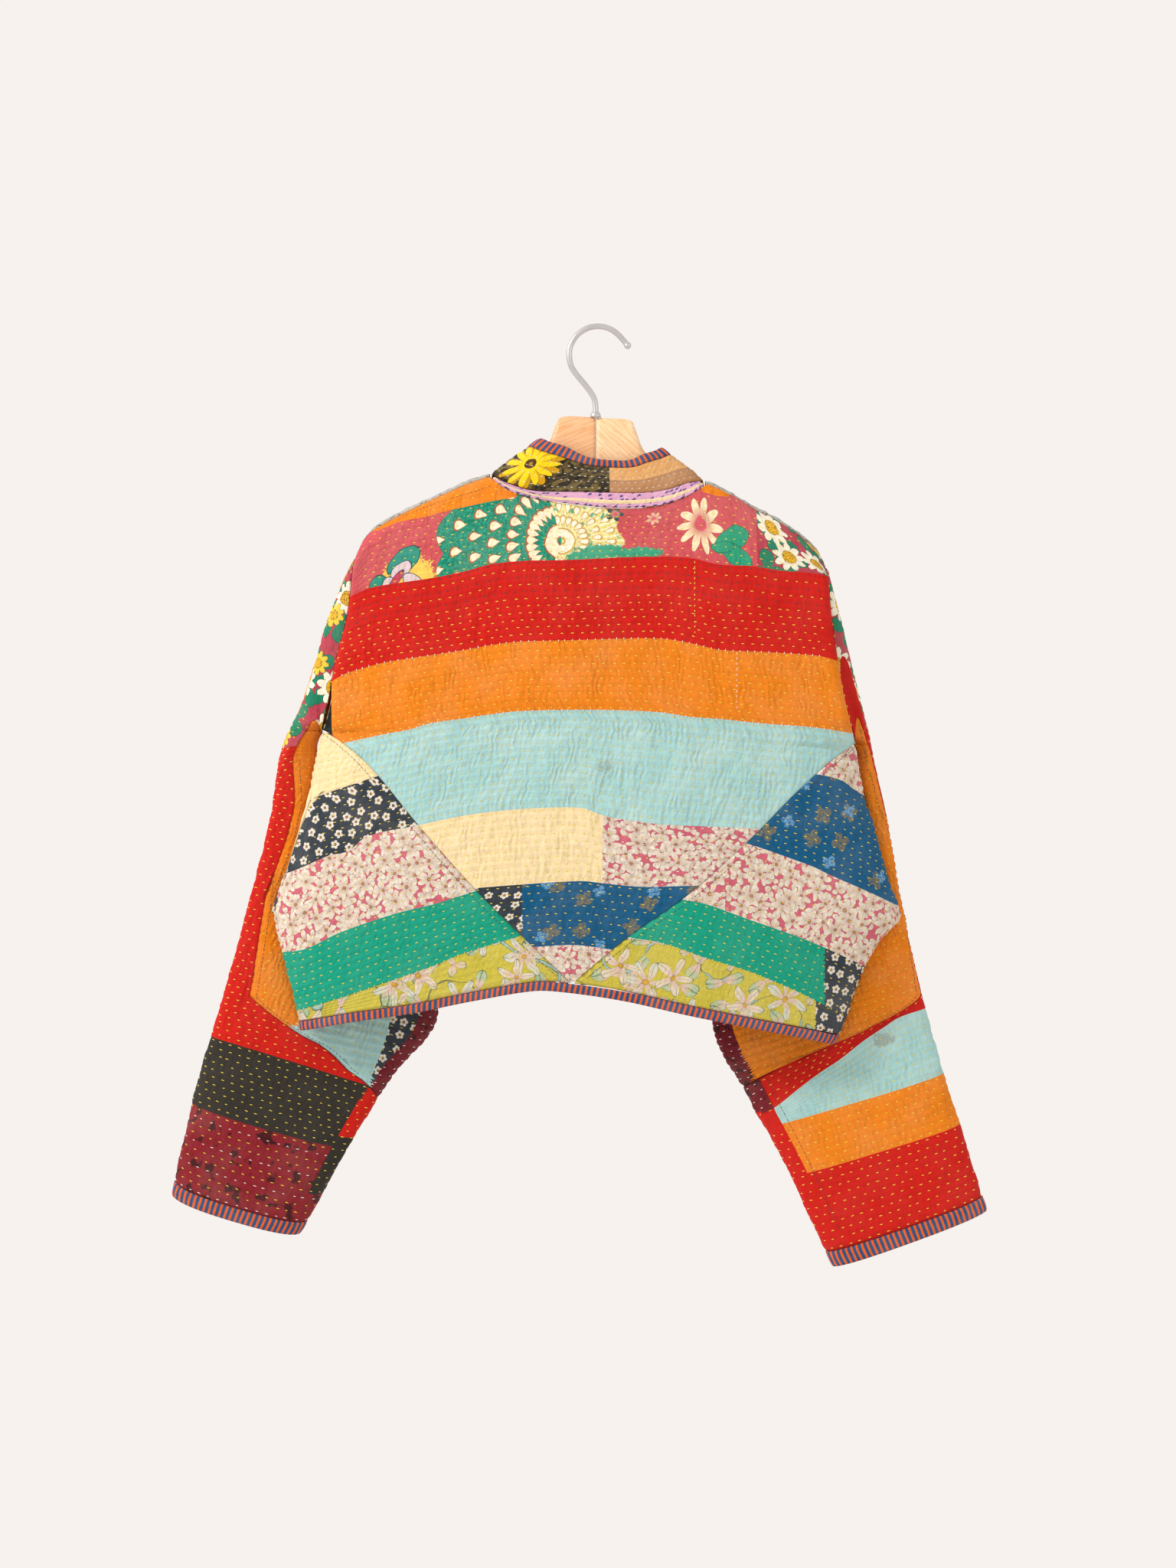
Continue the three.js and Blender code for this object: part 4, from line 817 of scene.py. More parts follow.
def lay_plane(points, middle, back, axis=(0.0, 1.0), tilt=0.0):
    """Distances on a cloth that is folded round an axis in the x, z plane: along the axis, and round it from
    a middle column. back is a column on the back, tilt turns the weave by so many degrees."""
    along = points[..., 0] * axis[0] + points[..., 2] * axis[1]
    off = points[..., 0] * axis[1] - points[..., 2] * axis[0]
    steps = np.hypot(np.diff(off, axis=1), np.diff(points[..., 1], axis=1))
    run = np.concatenate([np.zeros((len(points), 1)), np.cumsum(steps, axis=1)], axis=1)
    run = run - run[:, [middle]]
    way = np.sign(((off[:, back] - off[:, middle]) * (back - middle)).sum())
    across, down = way * off[:, [middle]] + run, -along
    turn = np.radians(tilt)
    return across * np.cos(turn) + down * np.sin(turn), down * np.cos(turn) - across * np.sin(turn)


SIDE_FOLD = len(BACK_SHARE) - 1
SIDE_TILT = 20
for side, number in (("left", 2), ("right", 3)):
    places, patches, stitched = side_piece(side)
    faces = both_faces(body_point, places[..., 0], places[..., 1], places[..., 2])
    spread = lay_plane(faces[0], SIDE_FOLD, 10, tilt=SIDE_TILT * OUTWARDS[side])
    name = "back_side_" + side
    piece = quilt(name, faces, spread, stitched[:, None] * 1.0, number, patches, SIDE_FINISHES, stitched)
    fix_cloth(piece, name)


# Fronts: each hangs from the shoulder seam just behind the ridge, over the hanger's arm and down to the hem.
# Only their printed rims show from the back; below they repeat the strips of the back in a plain way.


def mottled_print(name, ground, dark, light, seed, blot=9):
    """Worn dark print: blurred blots and small light flecks on a deep ground."""
    made = Finish(name)
    colour = made.over(made.noise(7, 3, seed), dye(ground), dye(light))
    blots = made.step(made.noise(blot, 2, seed + 1), 0.56, 0.62)
    colour = made.over(made.times(blots, 0.85), colour, dye(dark))
    flecks = made.step(made.noise(1.7, 2, seed + 2), 0.6, 0.66)
    colour = made.over(made.times(flecks, 0.5), colour, dye(light))
    return made.cloth(colour, seed, 0.03)


GREY_PRINT = mottled_print("grey_print", "8f8d87", "5c5a58", "c9c3b8", 39, 5)
FRONT_FINISHES = [GREY_PRINT, RED, ORANGE, SKY, BLOSSOM, SPRIG, MEADOW]
FRONT_STRIPS = [-0.12, 0.13, 0.3, 0.46, 0.62, 0.8]
FRONT_COLUMNS = 41
SEAM_TURN = np.arccos(1 - (SEAM_DROP - 2 * GAP) / RIDGE_ROUND)
NECK_DEPTH = 74
HALF_OPENING = 14
ARMHOLE_SHARE, NECK_SHARE = 0.42, 0.28
TOP_SEAM = {"left": (-96, -214.5), "right": (95.5, 201.5)}
front_centre = curve([(-150, 0), (-205, -1), (-640, -24)])
CENTRE_FOOT = -22.0


def front_place(side, u, v):
    """Place (x, z, facing) on a front: u from its side (0) to the centre (1), v from the shoulder seam (-1)
    over the ridge (0) to the hem (1)."""
    inwards = -OUTWARDS[side]
    neck_x, shoulder_x = TOP_SEAM[side]
    turn = mix(-SEAM_TURN, np.pi / 2, np.clip(v + 1, 0, 1))
    top_x = mix(shoulder_x, neck_x, u)
    over_x, over_z = top_x, ridge(top_x) - RIDGE_ROUND * (1 - np.cos(turn))
    down = np.clip(v, 0, 1)
    start = float(ridge(shoulder_x)) - RIDGE_ROUND
    armhole_z = mix(start, UNDERARM[side], np.clip(down / ARMHOLE_SHARE, 0, 1))
    below = np.clip((down - ARMHOLE_SHARE) / (1 - ARMHOLE_SHARE), 0, 1)
    side_z = mix(UNDERARM[side] - SIDE_TOP, HEM_FOLD[side], below)
    outer_z = np.where(down < ARMHOLE_SHARE, armhole_z, side_z)
    armhole_x = EDGE[side](outer_z) + inwards * GAP
    side_x = front_seam(side, outer_z) + inwards * GAP / 2
    outer_x = np.where(down < ARMHOLE_SHARE, armhole_x, side_x)
    start = float(ridge(neck_x)) - RIDGE_ROUND
    end = start + RIDGE_ROUND - NECK_DEPTH
    quarter = np.clip(down / NECK_SHARE, 0, 1) * np.pi / 2
    centre_end = float(front_centre(end)) - inwards * HALF_OPENING
    low = float(front_hem(CENTRE_FOOT - inwards * HALF_OPENING))
    centre_z = mix(end, low, np.clip((down - NECK_SHARE) / (1 - NECK_SHARE), 0, 1))
    inner_z = np.where(down < NECK_SHARE, mix(start, end, np.sin(quarter)), centre_z)
    neckline_x = mix(centre_end, neck_x, np.cos(quarter))
    inner_x = np.where(down < NECK_SHARE, neckline_x, front_centre(inner_z) - inwards * HALF_OPENING)
    x = mix(outer_x, inner_x, u)
    bow = ridge(top_x) - mix(ridge(shoulder_x), ridge(neck_x), u)
    z = mix(outer_z, inner_z, u) + bow * (1 - down) ** 2
    z = mix(z, front_hem(x), down**8)
    over = v < 0
    return np.where(over, over_x, x), np.where(over, over_z, z), np.where(over & (turn < 0), -1.0, 1.0)


for side, number in (("left", 4), ("right", 5)):
    rows = np.concatenate([np.linspace(-1, 0, 13), np.linspace(0, 1, 150)[1:]])
    faces = both_faces(body_point, *front_place(side, *np.meshgrid(np.linspace(0, 1, FRONT_COLUMNS), rows)))
    patches = np.repeat(np.searchsorted(FRONT_STRIPS, rows[:-1])[:, None], FRONT_COLUMNS - 1, axis=1)
    stitched = (np.arange(len(rows)) % 2 == 1) & (rows > -0.9)
    name = "front_" + side
    spread = lay_flat(faces[0], FRONT_COLUMNS // 2)
    piece = quilt(name, faces, spread, stitched[:, None] * 0.8, number, patches, FRONT_FINISHES, stitched)
    fix_cloth(piece, name)


# Sleeves: wide flattened tubes set into the armholes and hanging behind the body's sides. Each is cut from
# strips that run round the arm, with a print at the top and a narrow inner strip below the gusset.

# A sleeve's section is a little squarer than an ellipse, which would have 1 here
FLATNESS = 0.8


def super_sin(angle):
    return np.sign(np.sin(angle)) * np.abs(np.sin(angle)) ** FLATNESS


def super_cos(angle):
    return np.sign(np.cos(angle)) * np.abs(np.cos(angle)) ** FLATNESS


def reach_of(angle):
    """Share of the way across the flattened sleeve, from the lower fold to the upper one."""
    return (1 - super_cos(angle)) / 2


def super_angle(level):
    """The angle whose super_sin is level."""
    return np.arcsin(np.sign(level) * np.abs(level) ** (1 / FLATNESS))


# A row for each ring: upper fold x, z, y, lower fold x, z, y, half depth
SLEEVE_ROWS = {
    "left": [
        (-216, -203, 0, -245, -357, 0, 20), (-239, -255, 2, -247, -361, 2, 19),
        (-260, -325, 4, -249, -366, 5, 17), (-283, -378, 8, -250, -376, 14, 15),
        (-292, -433, 12, -183, -468, 41, 14), (-308, -497, 16, -155, -534, 44, 14),
        (-328, -568, 20, -143, -607, 42, 15), (-346, -629, 22, -188, -671, 36, 16),
        (-364, -693, 22, -227, -734, 30, 16), (-379, -762, 22, -262, -797, 25, 16),
    ],
    "right": [
        (203, -212, 0, 228, -369, 0, 20), (214, -255, 2, 229.5, -371.5, 2, 19),
        (228, -309, 4, 231, -374, 5, 17), (243, -370, 8, 231.6, -379, 14, 15),
        (257, -431, 12, 162, -486, 41, 14), (269, -498, 16, 124, -553, 44, 14),
        (283, -564, 20, 104, -620, 42, 15), (299, -627, 22, 132, -679, 36, 16),
        (321, -700, 22, 169, -747, 30, 16), (345, -776, 22, 206, -826, 25, 16),
    ],
}
sleeve_curves = {
    side: [curve([(i / 9, row[k]) for i, row in enumerate(rows)], calm=True) for k in range(7)]
    for side, rows in SLEEVE_ROWS.items()
}
SAG = {"left": 7, "right": 3}
SLEEVE_WAY = {"left": (0.27, 0.963), "right": (-0.25, 0.968)}
# Reach of each gusset round the sleeve from the lower fold, in degrees: place, on the back, on the front
GUSSET_ROWS = {
    "left": [
        (0.004, 9, 9), (0.11, 30, 30), (0.22, 84, 78), (0.33, 96, 92), (0.44, 127, 110), (0.56, 144, 122),
        (0.7, 135, 116), (0.745, 88, 76), (0.772, 64, 56), (0.806, 5, 5),
    ],
    "right": [
        (0.004, 9, 9), (0.11, 40, 28), (0.22, 86, 58), (0.33, 118, 72), (0.38, 162, 78), (0.48, 190, 82),
        (0.6, 190, 82), (0.715, 176, 76), (0.737, 118, 60), (0.757, 68, 44), (0.774, 5, 5),
    ],
}


def ring_point(row, angle, inset):
    """Point of one ring of a sleeve."""
    out_x, out_z, out_y, in_x, in_z, in_y, half = row
    length = np.hypot(out_x - in_x, out_z - in_z)
    reach = reach_of(angle)
    share = mix(inset / length, 1 - inset / length, reach)
    y = mix(in_y, out_y, reach) - (half - inset) * super_sin(angle)
    return np.stack([mix(in_x, out_x, share), y, mix(in_z, out_z, share)], -1)


def sleeve_point(side, angle, place, inset=0.0):
    """Point of a sleeve. The angle goes from the lower fold over the back to the upper fold at pi."""
    angle, place = np.broadcast_arrays(np.asarray(angle, float), np.asarray(place, float))
    row = [at(place) for at in sleeve_curves[side]]
    half = row[6]
    ring = ring_point(row, angle, inset)
    outer = ring_point(row, angle, 0)
    x, z = outer[..., 0], outer[..., 2]
    wave = 1.2 * np.sin(x / 19 + z / 27) * smooth((place - 0.1) / 0.2) * smooth((0.97 - place) / 0.1)
    round_share = np.abs(super_sin(angle))
    middle = outer[..., 1] + half * super_sin(angle)
    outwards = OUTWARDS[side]
    edge = EDGE[side](z)
    outside = outwards * (x - edge)
    near_x = np.where(outside > 0, edge - outwards * 0.5, x)
    front = body_point(near_x, z, 1)[..., 1] + 3.4 - np.maximum(0, outside) * 1.2
    short = front - (middle - half * round_share)
    push = smooth((UNDERARM[side] + 8 - z) / 18) * (short + np.hypot(short, 3)) / 2 * smooth(place / 0.08)
    free = ring + np.stack([0 * x, push - wave * super_sin(angle), -SAG[side] * place**4 * round_share], -1)
    seam_share = (1 - smooth(place / 0.16))[..., None]
    top, low = SHOULDER_END[side] - 0.4, UNDERARM[side]
    facing = np.where(np.sin(angle) >= 0, -1, 1)
    reach = reach_of(angle)
    outer_z = mix(low, top, reach)
    seam_z = mix(low + inset, top - inset, reach)
    depth = body_point(EDGE[side](outer_z), outer_z, facing)[..., 1]
    depth = depth * (1 - inset / ARMHOLE_DEPTH)
    seam = np.stack([EDGE[side](seam_z) + outwards * GAP / 2, depth, seam_z], -1)
    start = ring_point([at(0.0) for at in sleeve_curves[side]], angle, inset)
    return free + seam_share * (seam - start)


def gusset_reach(side, place, facing):
    """Angle from the lower fold to the gusset's seam, on the back (1) or the front (2)."""
    rows = np.array(GUSSET_ROWS[side])
    return np.interp(place, rows[:, 0], rows[:, facing], right=0) * np.pi / 180


def seam_angle(side, angle, place):
    """The angle that half a seam's gap takes up."""
    ends = sleeve_point(side, angle + 0.02, place) - sleeve_point(side, angle - 0.02, place)
    return GAP / 2 / (np.linalg.norm(ends, axis=-1) / 0.04)


# The next strip starts this far along the sleeve below the gusset's seam
BELOW_GUSSET = 0.0012


def gusset_end(reach):
    """Place of the right gusset's lower seam over the reach round the sleeve."""
    angle = 90 - np.degrees(super_angle(1 - 2 * np.asarray(reach, float)))
    ends = [(row[1], row[0]) for row in GUSSET_ROWS["right"][:-5:-1]]
    return np.interp(angle, *np.array(ends).T) + BELOW_GUSSET


CHARCOAL = plain_cotton("charcoal_cotton", "332f29", 36, 0.01)
MAROON = mottled_print("maroon_print", "74131f", "260f12", "90222b", 37, 13)
WINE = mottled_print("wine_print", "600f18", "240e11", "7c2430", 38, 7)
SLEEVE_FINISHES = [POSY, RED, CHARCOAL, MAROON, SKY, ORANGE, WINE]
SLEEVE_COLUMNS = 85
# The narrow inner strip reaches this many degrees from the lower fold, and begins at this place
INNER_STRIP = 40
INNER_START = {"left": 0.787, "right": 0.67}
# The right sleeve's red wedge: its angle at the armhole, what it gains, and the place where it ends
WEDGE_START, WEDGE_GAIN, WEDGE_END = 83, 80, 0.37
# The left sleeve's orange patch: from this angle to the front, down to this place
ORANGE_START, ORANGE_END = 164, 0.27
CUFF_PLACE = 0.9935
# Lower border of each strip as place over reach, its length, and its finish
SLEEVE_STRIPS = {
    "left": [
        (curve([(0, 0.2), (0.2, 0.25), (0.435, 0.301), (0.891, 0.321), (1, 0.322)]), 172, 0),
        (curve([(0, 0.787), (0.1, 0.786), (0.317, 0.782), (0.5, 0.779), (0.85, 0.776), (1, 0.777)]), 290, 1),
        (lambda r: 0.88 + 0 * r, 62, 2),
        (lambda r: CUFF_PLACE + 0 * r, 67, 3),
    ],
    "right": [
        (curve([(0, 0.30), (0.25, 0.35), (0.95, 0.370), (1, 0.371)]), 190, 0),
        (gusset_end, 230, 1),
        (curve([(0, 0.815), (0.106, 0.809), (0.257, 0.794), (0.394, 0.781), (0.516, 0.771), (0.649, 0.756),
                (0.787, 0.744), (0.863, 0.738), (1, 0.738)]), 26, 1),
        (lambda r: 0.8325 + 0 * r, 54, 4),
        (lambda r: 0.9 + 0 * r, 43, 5),
        (lambda r: CUFF_PLACE + 0 * r, 61, 1),
    ],
}


def sleeve_grid(side):
    """Angles and places of a sleeve's grid, with the finish of each cell, the stitch rows, and how many
    rows the gusset leaves open."""
    strips = SLEEVE_STRIPS[side]
    borders = [lambda r: 0 * r] + [row[0] for row in strips]
    tip = GUSSET_ROWS[side][-1][0]
    angles, along, patch, sewn = [], [], [], []
    open_rows = 0
    for strip, share, stitched in rows_between(borders, [row[1] for row in strips]):
        def place(angle):
            reach = reach_of(angle)
            return mix(borders[strip](reach), borders[strip + 1](reach), share)

        if place(0.0) < tip:
            back = float(crossing(lambda a: a - gusset_reach(side, place(a), 1), 0.0, 3.6))
            front = float(crossing(lambda a: a - gusset_reach(side, place(a), 2), 0.0, 2.6))
            first = back + float(seam_angle(side, back, place(back)))
            last = front + float(seam_angle(side, -front, place(front)))
            open_rows = len(angles) + 1
        else:
            first = last = 0.0
        fold = max(np.pi, first + 0.04)
        half = np.linspace(0, 1, SLEEVE_COLUMNS // 2 + 1)
        turn = np.concatenate([mix(first, fold, half), mix(fold, 2 * np.pi - last, half[1:])])
        if side == "right" and strip == 0:
            wedge = np.radians(WEDGE_START + WEDGE_GAIN * float(np.mean(place(turn))) / WEDGE_END)
            turn = snap(turn, [wedge])
        elif strip > 1:
            turn = snap(turn, [np.radians(INNER_STRIP), np.radians(360 - INNER_STRIP)])
        middle = (turn[1:] + turn[:-1]) / 2
        folded = np.degrees(np.pi - np.abs(np.pi - middle))
        at = place(middle)
        chosen = np.full(SLEEVE_COLUMNS - 1, strips[strip][2])
        if side == "right" and strip == 0:
            chosen = np.where(middle < wedge, 1, chosen)
        if side == "left":
            chosen = np.where((at < ORANGE_END) & (middle > np.radians(ORANGE_START)), 5, chosen)
            inner = np.where(at < 0.863, 1, np.where(at < 0.95, 2, 3))
        else:
            inner = np.where(at < 0.81, 6, 1)
        chosen = np.where((folded < INNER_STRIP) & (at > INNER_START[side]), inner, chosen)
        angles.append(turn)
        along.append(place(turn))
        patch.append(chosen)
        sewn.append(stitched)
    return np.array(angles), np.array(along), np.array(patch[:-1]), np.array(sewn), open_rows


sleeve_turns = {}
for side, number, area in (("left", 6, 0.077), ("right", 8, 0.099)):
    angle, place, patches, stitched, open_rows = sleeve_grid(side)
    sleeve_turns[side] = angle, open_rows
    faces = both_faces(sleeve_point, side, angle, place)
    spread = lay_plane(faces[0], SLEEVE_COLUMNS // 2, 12, SLEEVE_WAY[side])
    pressed = stitched[:, None] * (0.3 + 0.7 * np.abs(np.sin(angle)))
    name = "sleeve_" + side
    piece = quilt(name, faces, spread, pressed, number, patches, SLEEVE_FINISHES, stitched, open_rows)
    fix_cloth(piece, name)


# Underarm gussets: a long pointed piece let into each sleeve under the arm, from the armhole to below the
# elbow, most of it behind the body's side.

GUSSET_FINISHES = [ORANGE, SKY, DAISY, WINE, RED, CHARCOAL]
GUSSET_COLUMNS = 61
GUSSET_ROW_COUNT = {"left": 212, "right": 206}
# Angle of the daisy strip's edge over the place, on the left gusset
DAISY_PLACES, DAISY_ANGLES = [0.684, 0.709, 0.731, 0.767, 0.79], [61, 57, 52, 43, 39]
# The strip along the lower fold: its width in degrees, and the place where it begins
LOW_STRIP = {"left": 38, "right": 39}
STRIP_START = {"left": 0.66, "right": 0.62}
# A point (x, z) of the line below which the left gusset is sky blue, and the line's slope
SKY_POINT, SKY_SLOPE = (-266, -617), 0.17


def gusset_angles(side, along, daisy_edge):
    """Angles of a gusset's grid, one row for each place along it."""
    rows = []
    tip = GUSSET_ROWS[side][-1][0]
    for p, edge in zip(along, daisy_edge):
        ahead = min(tip, p + 0.0006)
        back, front = (
            min(float(gusset_reach(side, at, facing)) for at in (p, ahead)) for facing in (1, 2)
        )
        first = float(seam_angle(side, -front, p)) - front
        final = back - float(seam_angle(side, back, p))
        row = mix(first, final, np.linspace(0, 1, GUSSET_COLUMNS))
        if side == "left" and p > STRIP_START["left"]:
            row = snap(row, [np.radians(LOW_STRIP["left"]), np.radians(edge)])
        elif p > STRIP_START["right"]:
            row = snap(row, [np.radians(LOW_STRIP["right"])])
        rows.append(row)
    return np.array(rows)


for side, number, area in (("left", 10, 0.065), ("right", 11, 0.050)):
    ends = GUSSET_ROWS[side][0][0], GUSSET_ROWS[side][-1][0] - 0.003
    along = np.linspace(*ends, GUSSET_ROW_COUNT[side])
    along = snap(along, [row[0] for row in GUSSET_ROWS[side][1:-1]])
    daisy_edge = np.interp(along, DAISY_PLACES, DAISY_ANGLES)
    angle = gusset_angles(side, along, daisy_edge)
    place = np.repeat(along[:, None], GUSSET_COLUMNS, axis=1)
    faces = both_faces(sleeve_point, side, angle, place)
    stitched = np.arange(len(along)) % 3 == 1
    middle = np.degrees((angle[:-1, 1:] + angle[:-1, :-1]) / 2)
    low = place[:-1, :-1]
    if side == "left":
        x, z = faces[0][:-1, :-1, 0], faces[0][:-1, :-1, 2]
        sky = z < SKY_POINT[1] + SKY_SLOPE * (x - SKY_POINT[0])
        patches = np.where(sky & (middle > 0), 1, 0)
        daisies = (low > STRIP_START[side]) & (middle < daisy_edge[:-1, None])
        patches = np.where(daisies, np.where(middle > LOW_STRIP[side], 2, 3), patches)
    else:
        patches = np.where((middle < LOW_STRIP[side]) & (low > STRIP_START[side]), 3, 0)
    name = "gusset_" + side
    spread = lay_plane(faces[0], GUSSET_COLUMNS // 2, 55, SLEEVE_WAY[side])
    piece = quilt(name, faces, spread, stitched[:, None] * 1.0, number, patches, GUSSET_FINISHES, stitched)
    fix_cloth(piece, "underarm_" + name)


# Collar: a low standing band round the neck, pieced from a dark print with a yellow sunflower and from two
# strips of tan cotton, sewn into the neckline.


def sunflower_print():
    """Brown-black cotton with olive leaves and one large yellow sunflower."""
    made = Finish("sunflower_print")
    colour = made.over(made.step(made.noise(5, 3, 51), 0.42, 0.6), dye("1f1a15"), dye("5c4a25"))
    place = made.bent(5, 2.2, 52)
    leaf = made.noise(9, 1, 53, place)
    colour = made.drawn(colour, made.calc("MULTIPLY_ADD", leaf, 30, -16.5), dye("6b5a2c"), dye("15120e"), 0.5)
    far, angle = made.polar(made.moved(place, (9, 14, 0)))
    for count, size, turn, tint in ((11, 27, 0.0, "c9960f"), (12, 24, 0.23, "f0c914")):
        inside = made.petals(far, made.plus(angle, turn), count, size, 0.28, 1.0)
        colour = made.drawn(colour, inside, dye(tint), dye("241b12"), 0.7)
    colour = made.drawn(colour, made.minus(4.4, far), dye("4a3418"), dye("241b12"), 0.5)
    colour = made.drawn(colour, made.minus(1.8, far), dye("a87a22"))
    return made.cloth(colour, 52, 0.03)


# A row for each upright of the collar: x, y, z at its seam, x, y, z at its top
COLLAR_ROWS = [
    (-15, 23.5, -200.6, -13, 16, -173), (-36, 23.5, -198.2, -29, 16, -169.5),
    (-62, 22.5, -190, -46, 15, -159),
    (-84, 21.5, -172, -58, 13, -138), (-94, 20, -148, -63, 10, -117), (-95, 6, -128.6, -63, 3, -105.5),
    (-91, -10, -131.5, -58.5, -7, -105), (-79, -18, -138, -50, -12, -109), (-55, -22, -145, -34, -15, -114),
    (-14, -23, -146, -8, -16, -122), (33, -23, -147, 27, -16, -124), (60, -21, -144, 44, -14, -119),
    (78, -17, -138, 56, -10, -115), (90, -9, -135, 63, -6, -112), (94.5, 6, -134.8, 65, 3, -112.5),
    (93.5, 20, -154, 65, 10, -123), (84, 21.5, -177, 60, 13, -143), (61, 22.5, -195, 47, 15, -163),
    (34, 23.5, -203.8, 27, 16, -175), (13, 23.5, -206.2, 11, 16, -178),
]
collar_curves = [curve([(i / 19, row[k]) for i, row in enumerate(COLLAR_ROWS)]) for k in range(6)]


def collar_point(share, height, inset=0.0):
    """Point on the collar: share from front end to front end, height from its seam (0) to its top (1)."""
    share, height = np.broadcast_arrays(np.asarray(share, float), np.asarray(height, float))

    def at(s, h):
        values = [one(s) for one in collar_curves]
        return np.stack([mix(values[k], values[k + 3], h) for k in range(3)], -1)

    sideways = at(share + 0.004, height) - at(share - 0.004, height)
    upwards = at(share, 1.0 + 0 * height) - at(share, 0 * height)
    normal = np.cross(sideways, upwards)
    normal /= np.linalg.norm(normal, axis=-1, keepdims=True)
    inset = np.broadcast_to(np.asarray(inset, float), share.shape)
    return at(share, height) - normal * inset[..., None]


TAN = plain_cotton("tan_cotton", "b98457", 61, 0.08)
OCHRE = plain_cotton("ochre_cotton", "dfa35f", 62, 0.08)
COLLAR_FINISHES = [sunflower_print(), OCHRE, TAN]

COLLAR_SEWN = (4, 9, 13, 18)
share, height = np.meshgrid(np.linspace(0, 1, 221), np.linspace(1, 0.012, 22))
faces = both_faces(collar_point, share, height)
stitched = np.isin(np.arange(22), COLLAR_SEWN)
middle = (share[:-1, 1:] + share[:-1, :-1]) / 2
patches = np.where(middle < 0.502, 0, np.where(height[:-1, :-1] > 0.5, 1, 2))
spread = lay_flat(faces[0], 88)
collar_cloth = quilt("collar", faces, spread, stitched[:, None] * 0.8, 12, patches, COLLAR_FINISHES, stitched,
                     puckers=0.8)
fix_cloth(collar_cloth, "collar")


# Neck tape: a crescent of lavender printed cotton with a cream piping, sewn over the seam where the back of
# the collar meets the back panel.


def tape_print():
    """Lavender cotton with scattered violet dots."""
    made = Finish("tape_print")
    colour = made.over(made.noise(8, 2, 71), dye("cf8fb6"), dye("e3b3cd"))
    dot, _, _, chance = made.flowers(4.6, (0, 0, 0), 0.8, None, 3, 1.9, 0.5, 0.8)
    shown = made.minus(dot, made.times(made.step(chance[1], 0.45, 0.5), 8))
    colour = made.drawn(colour, shown, dye("4a3f7c"), soft=0.4)
    return made.cloth(colour, 71, 0.08)


PIPING_ROWS = (7, 8)
PIPING_RISE = 0.9
# Ends of the tape on the neck seam, and as shares of the collar's length
TAPE_ENDS = (-95.0, 96.0)
COLLAR_ENDS = (5.9 / 19, 13.1 / 19)
u, v = np.meshgrid(np.linspace(0, 1, 131), np.linspace(1, 0, 13))
share = mix(0.012, 0.988, u)
seam_x = mix(*TAPE_ENDS, share)
faces = []
for inset in (0.0, CLOTH):
    low = body_point(seam_x, shoulder_seam(seam_x) + 2 * GAP, -1, inset)
    high = collar_point(mix(*COLLAR_ENDS, share), -0.012, inset)
    faces.append(mix(low, high, v[..., None]))
spread = lay_flat(faces[0], 65)
raised = quilted(*faces, *spread, 0.0, 13, puckers=0.5)
for row in PIPING_ROWS:
    raised[row] += outward_of(*faces)[row] * PIPING_RISE
patches = np.repeat(np.where(np.isin(np.arange(12), (6, 7, 8)), 1, 0)[:, None], 130, axis=1)
tape = make_cloth("neck_tape_cloth", raised, faces[1], *spread, patches, [tape_print(), CREAM])
fix_cloth(tape, "neck_tape")


# Bindings: strips of striped blue and orange-red cotton folded over the raw edges of collar, hem, cuffs and
# fronts and sewn down on both sides.


STRIPE = 4.9


def striped_print():
    """Stripes square to the strip's length, read along the 'cloth' map."""
    made = Finish("striped_binding")
    along = made.calc("FRACT", made.calc("DIVIDE", made.parts(made.bent(9, 0.9, 81))[0], STRIPE))
    blue = made.over(made.noise(5, 2, 82), dye("2a4066"), dye("405a84"))
    red = made.over(made.noise(5, 2, 83), dye("d64a0c"), dye("ea6a18"))
    on_red = made.times(made.step(along, 0.55, 0.59), made.step(along, 0.98, 0.94))
    dark = made.step(made.calc("ABSOLUTE", made.minus(along, 0.28)), 0.05, 0.02)
    colour = made.over(made.times(dark, 0.5), made.over(on_red, blue, red), dye("1b2038"))
    return made.cloth(colour, 84, 0.05, slub=0.05, crease=0.2)


STRIPED = striped_print()
BAND = np.linspace(0, 1, 9)
ROUNDED = 0.25 + 0.55 * (1 - np.abs(2 * BAND - 1) ** 3)


def binding(name, node, surface, lengthwise, closed=False):
    """A strip folded over an edge: surface(along, share across, inset) at the given places along it."""
    along, share = np.meshgrid(lengthwise, BAND)
    rise = np.repeat(ROUNDED[:, None], len(lengthwise), axis=1)
    across, down = lay_flat(surface(along, share, 0.0), 0)
    across = np.repeat(across[4:5], len(BAND), axis=0)
    puffs = 0.3 * unevenness(len(name))(across / 3.4, down / 7) * (1 - np.abs(2 * share - 1) ** 3)
    outer = surface(along, share, -rise - puffs)
    inner = surface(along, share, CLOTH + rise)
    if closed:
        outer[:, -1], inner[:, -1] = outer[:, 0], inner[:, 0]
    patches = np.zeros((len(BAND) - 1, len(lengthwise) - 1), int)
    piece = make_cloth(name, outer, inner, across, down, patches, [STRIPED], 0 if closed else None)
    fix_cloth(piece, node)


def collar_edge(share, height, inset):
    return collar_point(share, mix(1.27, 1.01, height), inset)


binding("collar_binding_cloth", "collar_binding", collar_edge, np.linspace(0, 1, 261))


# Distances of the hem binding's upper and lower edge below the cloth's edge, and the hem's two ends
HEM_DROP = (2.3 * GAP, 8.5)
HEM_ENDS = (-265.0, 216.0)


